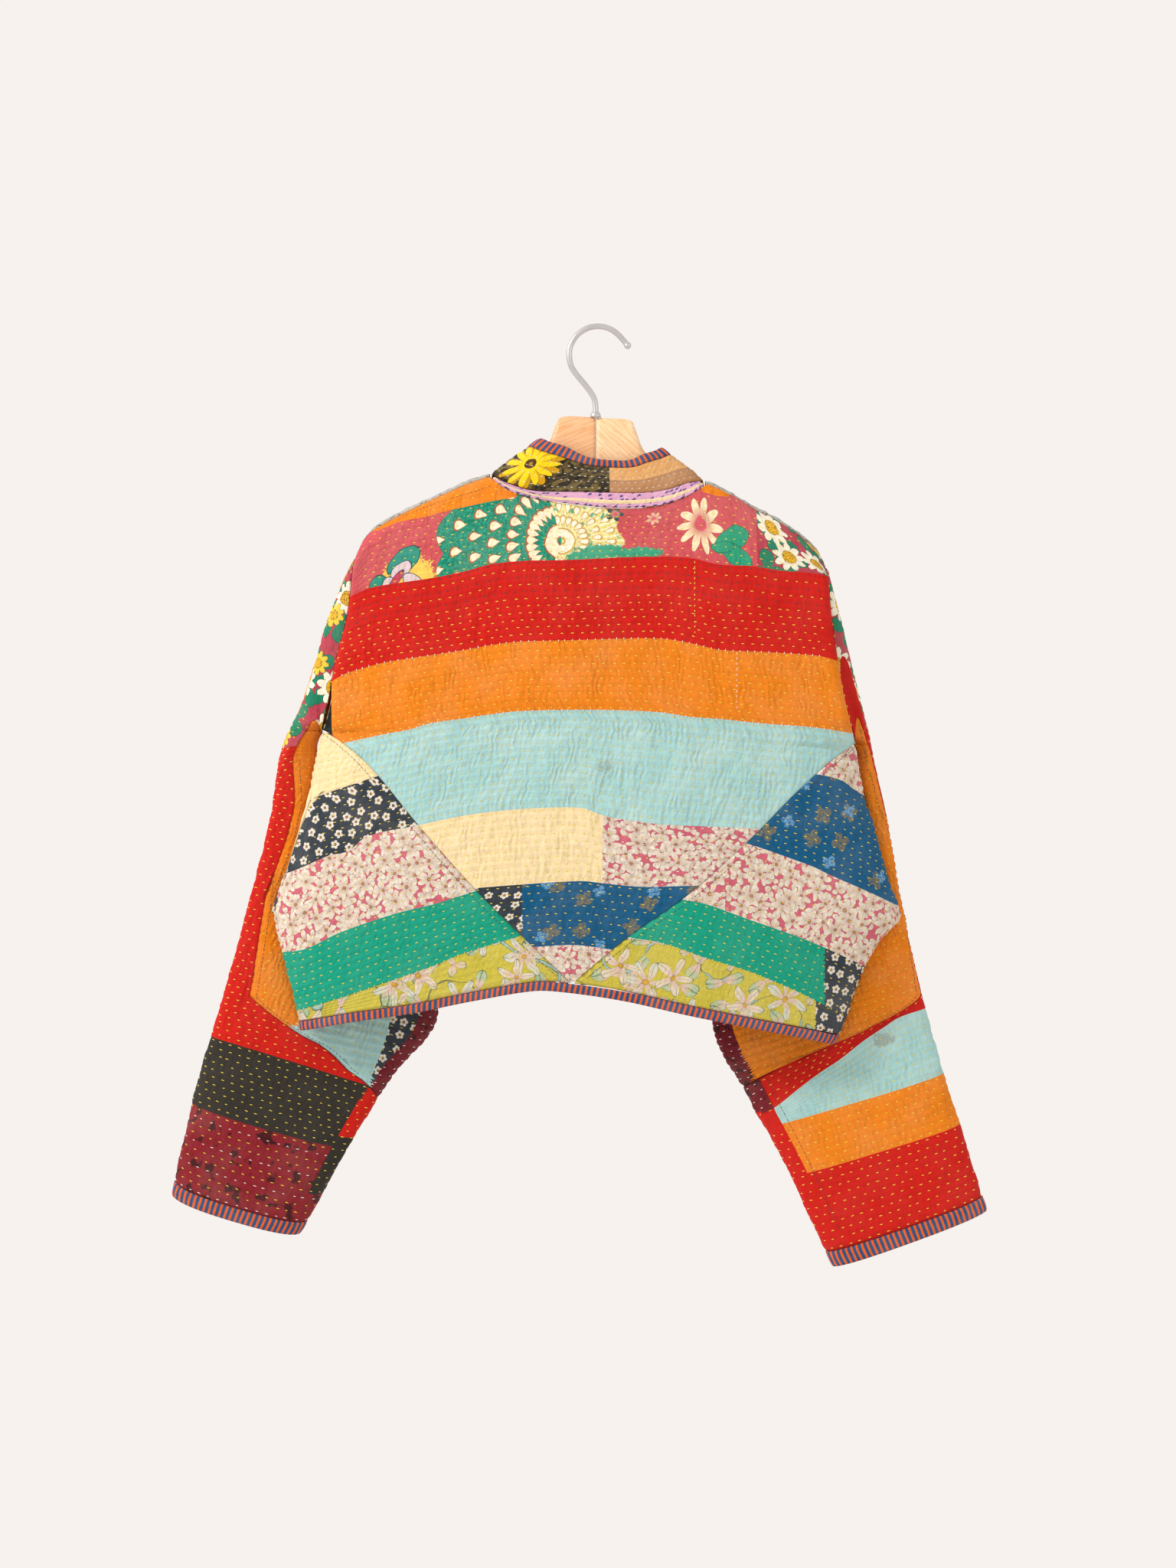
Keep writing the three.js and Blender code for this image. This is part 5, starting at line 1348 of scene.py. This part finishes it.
def hem_place(turn, height):
    """Place (x, z, facing) on the hem binding: the turn goes round the hem, height down the binding."""
    facing = np.where(np.cos(turn) >= 0, -1, 1)
    drop = mix(*HEM_DROP, height)
    share = reach_of(turn + np.pi / 2)
    x = mix(left_edge(HEM_FOLD["left"] - drop), right_edge(HEM_FOLD["right"] - drop), share)
    cut = mix(*HEM_ENDS, share)
    return x, np.where(facing < 0, back_hem(cut), front_hem(cut)) - drop, facing


def hem_angle(x):
    """Turn round the hem at a place on its front."""
    left, right = float(left_edge(HEM_FOLD["left"])), float(right_edge(HEM_FOLD["right"]))
    return np.pi - super_angle(2 * (x - left) / (right - left) - 1)


def hem_surface(turn, height, inset):
    x, z, facing = hem_place(turn, height)
    return body_point(x, z, facing, inset)


HALF_FRONT_GAP = 15.6
FRONT_TOP, FRONT_FOOT = -205.5, -584
hem_start = hem_angle(float(front_centre(-580.0)) - HALF_FRONT_GAP) - 2 * np.pi
hem_end = hem_angle(float(front_centre(-580.0)) + HALF_FRONT_GAP)
binding("hem_binding_cloth", "hem_binding", hem_surface, np.linspace(hem_start, hem_end, 561))
for side, area in (("left", 0.0036), ("right", 0.0048)):
    def cuff_edge(turn, height, inset):
        return sleeve_point(side, turn, mix(0.9942, 1.012, height), inset)

    def front_edge(down, across, inset):
        z = mix(FRONT_TOP, FRONT_FOOT, down)
        return body_point(front_centre(z) + OUTWARDS[side] * mix(13.7, 5.5, across), z, 1, inset)

    binding("cuff_binding_%s_cloth" % side, "cuff_binding_" + side, cuff_edge, np.linspace(0, 2 * np.pi, 221),
            closed=True)
    binding("front_binding_%s_cloth" % side, "front_binding_" + side, front_edge, np.linspace(0, 1, 201))


# Hand sewing: rows of running stitches hold the layers together, mostly in yellow thread, with some white
# and dark rows. Dark lines of topstitching follow the seams of side pieces, gussets and sleeves. Each stitch
# is a short bar of thread that lies half sunk in the cloth.


def plain_thread(name, code):
    """Soft twisted sewing cotton."""
    made = Finish(name, False)
    twist = made.noise(0.0006, 1)
    tint = made.over(made.times(twist, 0.35), dye(code), (0.02, 0.015, 0.01, 1))
    made.feed(made.shader.inputs, {"Sheen Weight": 0.2})
    return made.dress(tint, 0.7, twist, 0.4, 0.0003)


THREADS = {
    "yellow": plain_thread("yellow_thread", "f8dc34"),
    "white": plain_thread("white_thread", "f4eee2"),
    "dark": plain_thread("dark_thread", "33323a"),
}


def sewing_tree():
    """Node tree that lays one stitch at each point, along its 'along' and facing its 'out'."""
    tree = bpy.data.node_groups.new("running_stitches", "GeometryNodeTree")
    for name, kind, way in (
        ("Points", "NodeSocketGeometry", "INPUT"),
        ("Thread width", "NodeSocketFloat", "INPUT"),
        ("Thread height", "NodeSocketFloat", "INPUT"),
        ("Thread", "NodeSocketMaterial", "INPUT"),
        ("Stitches", "NodeSocketGeometry", "OUTPUT"),
    ):
        tree.interface.new_socket(name, in_out=way, socket_type=kind)
    given = tree.nodes.new("NodeGroupInput")
    result = tree.nodes.new("NodeGroupOutput")

    def node(kind, links=(), **settings):
        new = tree.nodes.new(kind)
        for key, value in settings.items():
            setattr(new, key, value)
        for socket, source in links:
            tree.links.new(source, new.inputs[socket])
        return new

    def attribute(name, kind):
        read = node("GeometryNodeInputNamedAttribute", data_type=kind)
        read.inputs["Name"].default_value = name
        return read.outputs["Attribute"]

    bead = node("GeometryNodeMeshIcoSphere")
    bead.inputs["Radius"].default_value = 0.5
    bead.inputs["Subdivisions"].default_value = 1
    along, out = attribute("along", "FLOAT_VECTOR"), attribute("out", "FLOAT_VECTOR")
    axes = [("Primary Axis", along), ("Secondary Axis", out)]
    turn = node("FunctionNodeAxesToRotation", axes, primary_axis="X", secondary_axis="Z")
    thick, high = given.outputs["Thread width"], given.outputs["Thread height"]
    size = node("ShaderNodeCombineXYZ", [("X", attribute("long", "FLOAT")), ("Y", thick), ("Z", high)])
    laid = node("GeometryNodeInstanceOnPoints", [
        ("Points", given.outputs["Points"]), ("Instance", bead.outputs["Mesh"]),
        ("Rotation", turn.outputs["Rotation"]), ("Scale", size.outputs["Vector"]),
    ])
    real = node("GeometryNodeRealizeInstances", [("Geometry", laid.outputs["Instances"])])
    soft = node("GeometryNodeSetShadeSmooth", [("Geometry", real.outputs["Geometry"])])
    links = [("Geometry", soft.outputs["Geometry"]), ("Material", given.outputs["Thread"])]
    dyed = node("GeometryNodeSetMaterial", links)
    tree.links.new(dyed.outputs["Geometry"], result.inputs["Stitches"])
    return tree


stitch_tree = sewing_tree()


def line_of_stitches(points, outs, pitch, long, random, phase):
    """Rows of (place, along, out, length) for stitches spaced by about one pitch along a line of points."""
    steps = np.linalg.norm(np.diff(points, axis=0), axis=1)
    way = np.concatenate([[0], np.cumsum(steps)])
    count = int((way[-1] - 3.0) / pitch)
    if count < 1:
        return np.zeros((0, 10))
    at = (np.arange(count) + 0.25 + 0.5 * phase) * pitch + random.normal(0, 0.07 * pitch, count)
    at = np.clip(at, 1.5, way[-1] - 1.5)
    place = np.stack([np.interp(at, way, points[:, k]) for k in range(3)], -1)
    ahead = np.stack([np.interp(at + 1.2, way, points[:, k]) for k in range(3)], -1)
    behind = np.stack([np.interp(at - 1.2, way, points[:, k]) for k in range(3)], -1)
    out = np.stack([np.interp(at, way, outs[:, k]) for k in range(3)], -1)
    out /= np.linalg.norm(out, axis=1, keepdims=True)
    along = ahead - behind
    along /= np.maximum(np.linalg.norm(along, axis=1, keepdims=True), 1e-9)
    swing = random.normal(0, 0.1, (count, 1))
    along = along + swing * np.cross(out, along)
    length = long * random.uniform(0.75, 1.2, (count, 1))
    return np.concatenate([place + out * 0.12, along, out, length], axis=1)


def make_stitches(name, rows, thread, width):
    """One plain mesh of all the stitches in rows, of one thread."""
    rows = np.concatenate(rows)
    mesh = bpy.data.meshes.new(name)
    mesh.from_pydata((rows[:, :3] * 0.001).tolist(), [], [])
    for label, kind, values in (
        ("along", "FLOAT_VECTOR", rows[:, 3:6]),
        ("out", "FLOAT_VECTOR", rows[:, 6:9]),
        ("long", "FLOAT", rows[:, 9] * 0.001),
    ):
        layer = mesh.attributes.new(label, kind, "POINT")
        layer.data.foreach_set("value" if kind == "FLOAT" else "vector", values.ravel())
    points = bpy.data.objects.new(name, mesh)
    bpy.context.scene.collection.objects.link(points)
    sewing = points.modifiers.new("sewing", "NODES")
    sewing.node_group = stitch_tree
    sockets = {item.name: item.identifier for item in stitch_tree.interface.items_tree}
    sewing[sockets["Thread width"]] = width * 0.001
    sewing[sockets["Thread height"]] = width * 0.0006
    sewing[sockets["Thread"]] = thread
    ready = points.evaluated_get(bpy.context.evaluated_depsgraph_get())
    plain = bpy.data.meshes.new_from_object(ready)
    points.modifiers.remove(sewing)
    points.data = plain
    for layer in [a.name for a in plain.attributes if a.name in ("along", "out", "long")]:
        plain.attributes.remove(plain.attributes[layer])
    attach(points, "root")
    return points


# A stitch this near to the row before is left out
CROWDED = 3.9


def all_yellow(order, kind):
    return "yellow"


def sew(name, thread_of=all_yellow, pitch=9.0, long=3.2, every=1):
    """Running stitches along a panel's rows. thread_of(order of the row, kind of patch) names the thread."""
    raised, inner, patches, stitched = panels[name]
    outs = outward_of(raised, inner)
    random = np.random.default_rng(len(name) * 7 + 3)
    sewn = {}
    before = raised[0] + 99.0
    for order, j in enumerate(np.nonzero(stitched)[0][::every]):
        phase = order % 2 + random.uniform(-0.3, 0.3)
        rows = line_of_stitches(raised[j], outs[j], pitch, long, random, phase)
        apart = np.linalg.norm(rows[:, None, :3] - before[None], axis=2).min(axis=1)
        rows, before = rows[apart > CROWDED], raised[j]
        cells = patches[min(j, len(patches) - 1)]
        nearest = np.linalg.norm(rows[:, None, :3] - raised[j][None, :-1], axis=2).argmin(axis=1)
        threads = np.array([thread_of(order, int(kind)) for kind in cells[nearest]])
        for thread in set(threads.tolist()):
            sewn.setdefault(thread, []).append(rows[threads == thread])
    return sewn


def finish_sewing(name, sewn, width=0.9):
    for thread, rows in sorted(sewn.items()):
        make_stitches("%s_%s_stitches" % (name, thread), rows, THREADS[thread], width)


def whipped(raised, outs, j, random, low, high):
    """Short ticks across a strip's border, along row j between two shares of its length."""
    ends = [int(low * (raised.shape[1] - 1)), int(high * (raised.shape[1] - 1)) + 1]
    rows = line_of_stitches(raised[j, ends[0]:ends[1]], outs[j, ends[0]:ends[1]], 6.5, 2.6, random, 0.5)
    rows[:, 3:6] = np.cross(rows[:, 6:9], rows[:, 3:6])
    return rows


def upright(raised, outs, rows, x, random):
    """Ticks along an upright seam at x, through the given rows."""
    points = [[np.interp(x, raised[j][:, 0], raised[j][:, k]) for k in range(3)] for j in rows]
    facing = [[np.interp(x, raised[j][:, 0], outs[j][:, k]) for k in range(3)] for j in rows]
    return line_of_stitches(np.array(points), np.array(facing), 5.0, 2.4, random, 0.5)


def strip_rows(name, kind):
    """Rows of a panel whose patches are mostly of one kind."""
    patches = panels[name][2]
    return [j for j in range(len(patches)) if np.bincount(patches[j]).argmax() == kind]


def back_thread(order, kind):
    if kind == 3 and order in dark_rows:
        return "dark"
    return "white" if kind == 6 and order % 3 else "yellow"


def sleeve_thread(order, kind):
    return "white" if kind == 6 or kind == 3 and order % 3 == 0 else "yellow"


def gusset_thread(order, kind):
    return "white" if kind == 3 else "yellow"


def all_white(order, kind):
    return "white"


sewn_rows = np.nonzero(panels["back_panel"][3])[0]
red_strip, orange_strip, sky_strip = (strip_rows("back_panel", kind) for kind in (3, 0, 4))
dark_rows = [k for k, j in enumerate(sewn_rows) if j in red_strip][:6:2]
back_stitches = sew("back_panel", back_thread)
raised, inner = panels["back_panel"][:2]
outs = outward_of(raised, inner)
random = np.random.default_rng(61)
orange_strip = [j for j in orange_strip if j > red_strip[0]]
back_stitches.setdefault("white", []).extend([
    whipped(raised, outs, orange_strip[0], random, 0.02, 0.98),
    whipped(raised, outs, sky_strip[0], random, 0.02, 0.98),
    upright(raised, outs, orange_strip, 122.0, random),
])
back_stitches["yellow"].extend([
    upright(raised, outs, red_strip, 85.0, random), upright(raised, outs, sky_strip, -11.0, random),
])
finish_sewing("back_panel", back_stitches)
for side in ("left", "right"):
    side_stitches = sew("back_side_" + side)
    raised, inner = panels["back_side_" + side][:2]
    outs = outward_of(raised, inner)
    meadow_row = strip_rows("back_side_" + side, 4)[0]
    side_stitches["yellow"].append(whipped(raised, outs, meadow_row, random, 0.05, 0.8))
    finish_sewing("back_side_" + side, side_stitches)
    finish_sewing("front_" + side, sew("front_" + side, every=3))
    finish_sewing("sleeve_" + side, sew("sleeve_" + side, sleeve_thread))
    finish_sewing("gusset_" + side, sew("gusset_" + side, gusset_thread))
finish_sewing("collar", sew("collar", all_white, pitch=6, long=2.6), 0.8)

YOKE_LINE = np.array([(-171, -167), (-153, -160), (-136, -154), (-112, -147), (-95, -141), (-89, -138)])
yoke_x = np.linspace(-171, -91, 60)
yoke_z = np.interp(yoke_x, *YOKE_LINE.T)
yoke_outs = np.tile((0.0, -1.0, 0.2), (60, 1))
yoke = line_of_stitches(body_point(yoke_x, yoke_z, -1), yoke_outs, 3.4, 2.9, random, 0.5)
yoke[:, 1] -= 0.35
make_stitches("yoke_topstitching", [yoke], THREADS["dark"], 0.45)


def topstitch(name, panel, place_of, rows):
    """A dark line of close stitches down a panel. place_of gives its place on a row, as the keys of the
    row's points and the key of the place, or None."""
    raised, inner = panels[panel][:2]
    outs = outward_of(raised, inner)
    points, facing = [], []
    for j in rows:
        found = place_of(j, raised[j])
        if found is not None:
            points.append([np.interp(found[1], found[0], raised[j][:, k]) for k in range(3)])
            facing.append([np.interp(found[1], found[0], outs[j][:, k]) for k in range(3)])
    sewing = line_of_stitches(np.array(points), np.array(facing), 3.8, 3.4, np.random.default_rng(77), 0)
    make_stitches(name, [sewing], THREADS["dark"], 0.55)


# The topstitching's distance from a seam, and its angle on the sleeves
MARGIN = 6.5
SLEEVE_LINE = 47


def beside_edge(least, last=False):
    """Finds the place one margin from a row's first or last end, on rows longer than least."""
    def place_of(j, points):
        run = np.concatenate([[0], np.cumsum(np.linalg.norm(np.diff(points, axis=0), axis=1))])
        if run[-1] < least:
            return None
        return run, run[-1] - MARGIN if last else MARGIN

    return place_of


for side in ("left", "right"):
    name = "back_side_" + side
    all_rows = range(len(panels[name][0]))
    topstitch("side_%s_topstitching" % side, name, beside_edge(12), all_rows)
    name = "gusset_" + side
    low_rows = range(int(0.3 * len(panels[name][0])), len(panels[name][0]) - 2)
    topstitch(name + "_topstitching", name, beside_edge(60, True), low_rows)
    angle, open_rows = sleeve_turns[side]
    name = "sleeve_" + side
    whole_rows = range(open_rows + 1, len(angle) - 4)
    topstitch(name + "_topstitching", name,
              lambda j, points: (angle[j], np.radians(SLEEVE_LINE)), whole_rows)


# Hanger: two shaped halves of beech, glued together at the middle and sanded round, with a bent steel wire
# hook set into the top through a small ferrule. The jacket hangs on it by its shoulders.


def wood(name, light, dark, turn, seed):
    """Beech with long grain, fine pores and short dark flecks, oiled to a soft gloss."""
    made = Finish(name, False)
    values = {"Vector": made.place, "Rotation": (0, turn, 0), "Scale": (1000, 1000, 1000)}
    grain = made.node("ShaderNodeMapping", values).outputs[0]
    rings = made.calc("SINE", made.times(made.streaks((0.012, 0.07, 0.16), 2, seed, grain), 42))
    colour = made.over(made.step(rings, -0.9, 1), dye(light), dye(dark))
    fleck = made.step(made.streaks((0.22, 1.2, 1.5), 1, seed + 1, grain), 0.62, 0.7)
    colour = made.over(made.times(fleck, 0.5), colour, dye("a8703f"))
    pores = made.streaks((0.5, 3.2, 3.2), 2, seed + 2, grain)
    colour = made.over(made.times(pores, 0.16), colour, dye("8a5a34"))
    return made.dress(colour, made.calc("MULTIPLY_ADD", pores, 0.2, 0.36), pores, 0.12, 0.0005)


# A row for each section of an arm: x, z of its top, z of its foot, half depth
ARM_ROWS = {
    "left": [
        (-1.6, -78.5, -128, 6), (-30, -77.5, -129, 6), (-37, -84, -131, 6), (-44, -102, -136, 6),
        (-56, -114, -143, 6),
        (-76, -127, -152, 7), (-100, -135.5, -162, 8), (-150, -153.2, -183, 12), (-180, -168.1, -196, 13),
        (-193, -176.4, -202, 12), (-201, -185, -204, 8),
    ],
    "right": [
        (-1.2, -78.5, -128, 6), (27, -80.6, -130, 6), (33, -88, -132, 6), (41, -108, -138, 6),
        (56, -121, -147, 6),
        (76, -135, -158, 7), (100, -143, -168, 8), (142, -162.3, -190, 12), (168, -177.6, -204, 13),
        (181, -187.4, -210, 12), (190, -197, -213, 8),
    ],
}


def closed_rings(name, rings):
    """Smooth closed mesh through rings of points, with a fan at each end."""
    count, corners = rings.shape[:2]
    ids = np.arange(count * corners).reshape(count, corners)
    after = np.roll(ids, -1, axis=1)
    faces = np.stack([ids[:-1], after[:-1], after[1:], ids[1:]], -1).reshape(-1, 4).tolist()
    points = np.concatenate([rings.reshape(-1, 3), [rings[0].mean(axis=0), rings[-1].mean(axis=0)]])
    first, last = count * corners, count * corners + 1
    for i in range(corners):
        faces.append([first, int(after[0, i]), int(ids[0, i])])
        faces.append([last, int(ids[-1, i]), int(after[-1, i])])
    mesh = bpy.data.meshes.new(name)
    mesh.from_pydata((points * 0.001).tolist(), [], faces)
    form = bmesh.new()
    form.from_mesh(mesh)
    bmesh.ops.recalc_face_normals(form, faces=form.faces)
    form.to_mesh(mesh)
    form.free()
    mesh.polygons.foreach_set("use_smooth", np.ones(len(mesh.polygons), bool))
    piece = bpy.data.objects.new(name, mesh)
    bpy.context.scene.collection.objects.link(piece)
    return piece


def fix_hard(piece, node=None):
    """Fixes a piece of the hanger, in place of its solid where it has one."""
    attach(piece, "root")
    if node:
        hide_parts(node)


BEECH = {
    "left": wood("beech_warm", "eeb988", "e4a671", 0.35, 91),
    "right": wood("beech_pale", "f8d4a6", "efc08c", -0.75, 94),
}
for side, rows in ARM_ROWS.items():
    columns = [curve([(i / 10, row[k]) for i, row in enumerate(rows)]) for k in range(4)]
    turn = np.linspace(0, 2 * np.pi, 49)[:-1]
    x, top, bottom, half = (column(np.linspace(0, 1, 91))[:, None] for column in columns)
    ring = np.stack([x + 0 * turn, half * super_cos(turn), mix(bottom, top, (1 + super_sin(turn)) / 2)], -1)
    centre = ring.mean(axis=1, keepdims=True)
    for k, share in ((0, 0.93), (-1, 0.8), (-2, 0.95)):
        ring[k] = mix(centre[k], ring[k], share)
    arm = closed_rings("hanger_arm_%s_wood" % side, ring)
    arm.data.materials.append(BEECH[side])
    fix_hard(arm, "hanger_arm_" + side)


def wire_steel():
    """Drawn steel wire, bright, with fine lines along it and a little haze."""
    made = Finish("hook_steel", False)
    lines = made.noise(0.0012, 3, 5, made.stretched(made.place, (1, 1, 0.15)))
    colour = made.over(made.noise(0.012, 2, 6), dye("bab8b8"), dye("d6d3d1"))
    made.feed(made.shader.inputs, {"Metallic": 0.85})
    return made.dress(colour, made.calc("MULTIPLY_ADD", lines, 0.22, 0.22), lines, 0.1, 0.0002)


WIRE, BEND, KNOB = 2.6, 25.6, 3.3
shank = [(-2.1, -79.5), (-2.1, -69), (-3.2, -62), (-6.8, -55.5), (-12.6, -48), (-19.6, -39.5), (-24.2, -31.5)]
arc = [(BEND * np.cos(a), WIRE - BEND + BEND * np.sin(a)) for a in np.radians(np.linspace(172, 42, 8))]
knots = np.array(shank + arc + [(28.5, -17)])
run = np.concatenate([[0], np.cumsum(np.linalg.norm(np.diff(knots, axis=0), axis=1))])
way = np.linspace(0, run[-1], 160)
hook_x, hook_z = (curve(list(zip(run, knots[:, k])))(way) for k in range(2))
ahead = np.stack([np.gradient(hook_x), 0 * way, np.gradient(hook_z)], -1)
ahead /= np.linalg.norm(ahead, axis=1, keepdims=True)
side_way = np.cross(ahead, (0, 1, 0))
# The wire's end is finished in a small round knob
left = run[-1] - way
knob = KNOB**2 - (left - KNOB) ** 2
radius = np.where(left < 2 * KNOB, np.maximum(WIRE, np.sqrt(np.clip(knob, 0, None))), WIRE)
radius = np.where(left < KNOB, np.sqrt(np.clip(knob, 0.05, None)), radius)
turn = np.linspace(0, 2 * np.pi, 29)[:-1]
centre = np.stack([hook_x, 0 * way, hook_z], -1)[:, None]
around = np.cos(turn)[None, :, None] * side_way[:, None] + np.sin(turn)[None, :, None] * np.array([0, 1.0, 0])
wire = closed_rings("hook_wire", centre + around * radius[:, None, None])
wire.data.materials.append(wire_steel())
fix_hard(wire, "hanger_hook")
# A turned ferrule, as (radius, z), closes the hole that the wire goes into
profile = np.array([
    (2.6, -78.4), (4.6, -78.4), (5.0, -78.0), (4.6, -76.2), (3.9, -74.4), (3.4, -73.6), (2.6, -73.4),
])
ferrule = np.stack([
    -2.1 + profile[:, :1] * np.cos(turn), profile[:, :1] * np.sin(turn), profile[:, 1:] + 0 * turn,
], -1)
cap = closed_rings("hook_ferrule", ferrule)
cap.data.materials.append(wire.data.materials[0])
fix_hard(cap)


# Setting: a pale plaster floor well below the jacket, soft studio light from both sides and the front, and a
# camera square to the jacket's back.


def plaster():
    """Pale plaster with a soft, even mottle."""
    made = Finish("pale_plaster", False)
    colour = made.over(made.noise(0.02, 4, 1), dye("efe8e3"), dye("f6f1ec"))
    made.feed(made.shader.inputs, {"Base Color": colour, "Roughness": 0.9})
    return made.material


turn = np.linspace(0, 2 * np.pi, 65)[:-1]
FLOOR_RADIUS, FLOOR_LEVEL = 1.5, -1.9
disc = np.stack([FLOOR_RADIUS * np.cos(turn), FLOOR_RADIUS * np.sin(turn), np.full(64, FLOOR_LEVEL)], -1)
floor_mesh = bpy.data.meshes.new("floor")
floor_mesh.from_pydata(disc.tolist(), [], [list(range(64))])
floor_mesh.materials.append(plaster())
floor = bpy.data.objects.new("floor", floor_mesh)
bpy.context.scene.collection.objects.link(floor)

world = bpy.data.worlds.new("studio")
world.use_nodes = True
world.node_tree.nodes["Background"].inputs["Color"].default_value = dye("faf5f1")
world.node_tree.nodes["Background"].inputs["Strength"].default_value = 0.97
bpy.context.scene.world = world


def soft_light(name, place, target, size, power):
    data = bpy.data.lights.new(name, "AREA")
    data.shape, data.size, data.energy = "DISK", size, power
    lamp = bpy.data.objects.new(name, data)
    lamp.location = place
    lamp.rotation_euler = (Vector(target) - Vector(place)).to_track_quat("-Z", "Y").to_euler()
    bpy.context.scene.collection.objects.link(lamp)


soft_light("key_light", (-2.5, -1.5, 1.3), (0, 0, -0.4), 0.7, 75)
soft_light("fill_light", (2.2, -1.9, 0.2), (0, 0, -0.4), 1.4, 6)

DISTANCE, FRAME_HEIGHT, SENSOR = 3.0, 1.3926, 36
lens = bpy.data.cameras.new("photo_camera")
lens.sensor_fit = "VERTICAL"
lens.sensor_height = SENSOR
lens.lens = SENSOR * DISTANCE / FRAME_HEIGHT
camera = bpy.data.objects.new("photo_camera", lens)
camera.location = (-0.0088, -DISTANCE, -0.4039)
camera.rotation_euler = (np.pi / 2, 0, 0)
bpy.context.scene.collection.objects.link(camera)
bpy.context.scene.camera = camera
bpy.context.scene.view_settings.view_transform = "Standard"
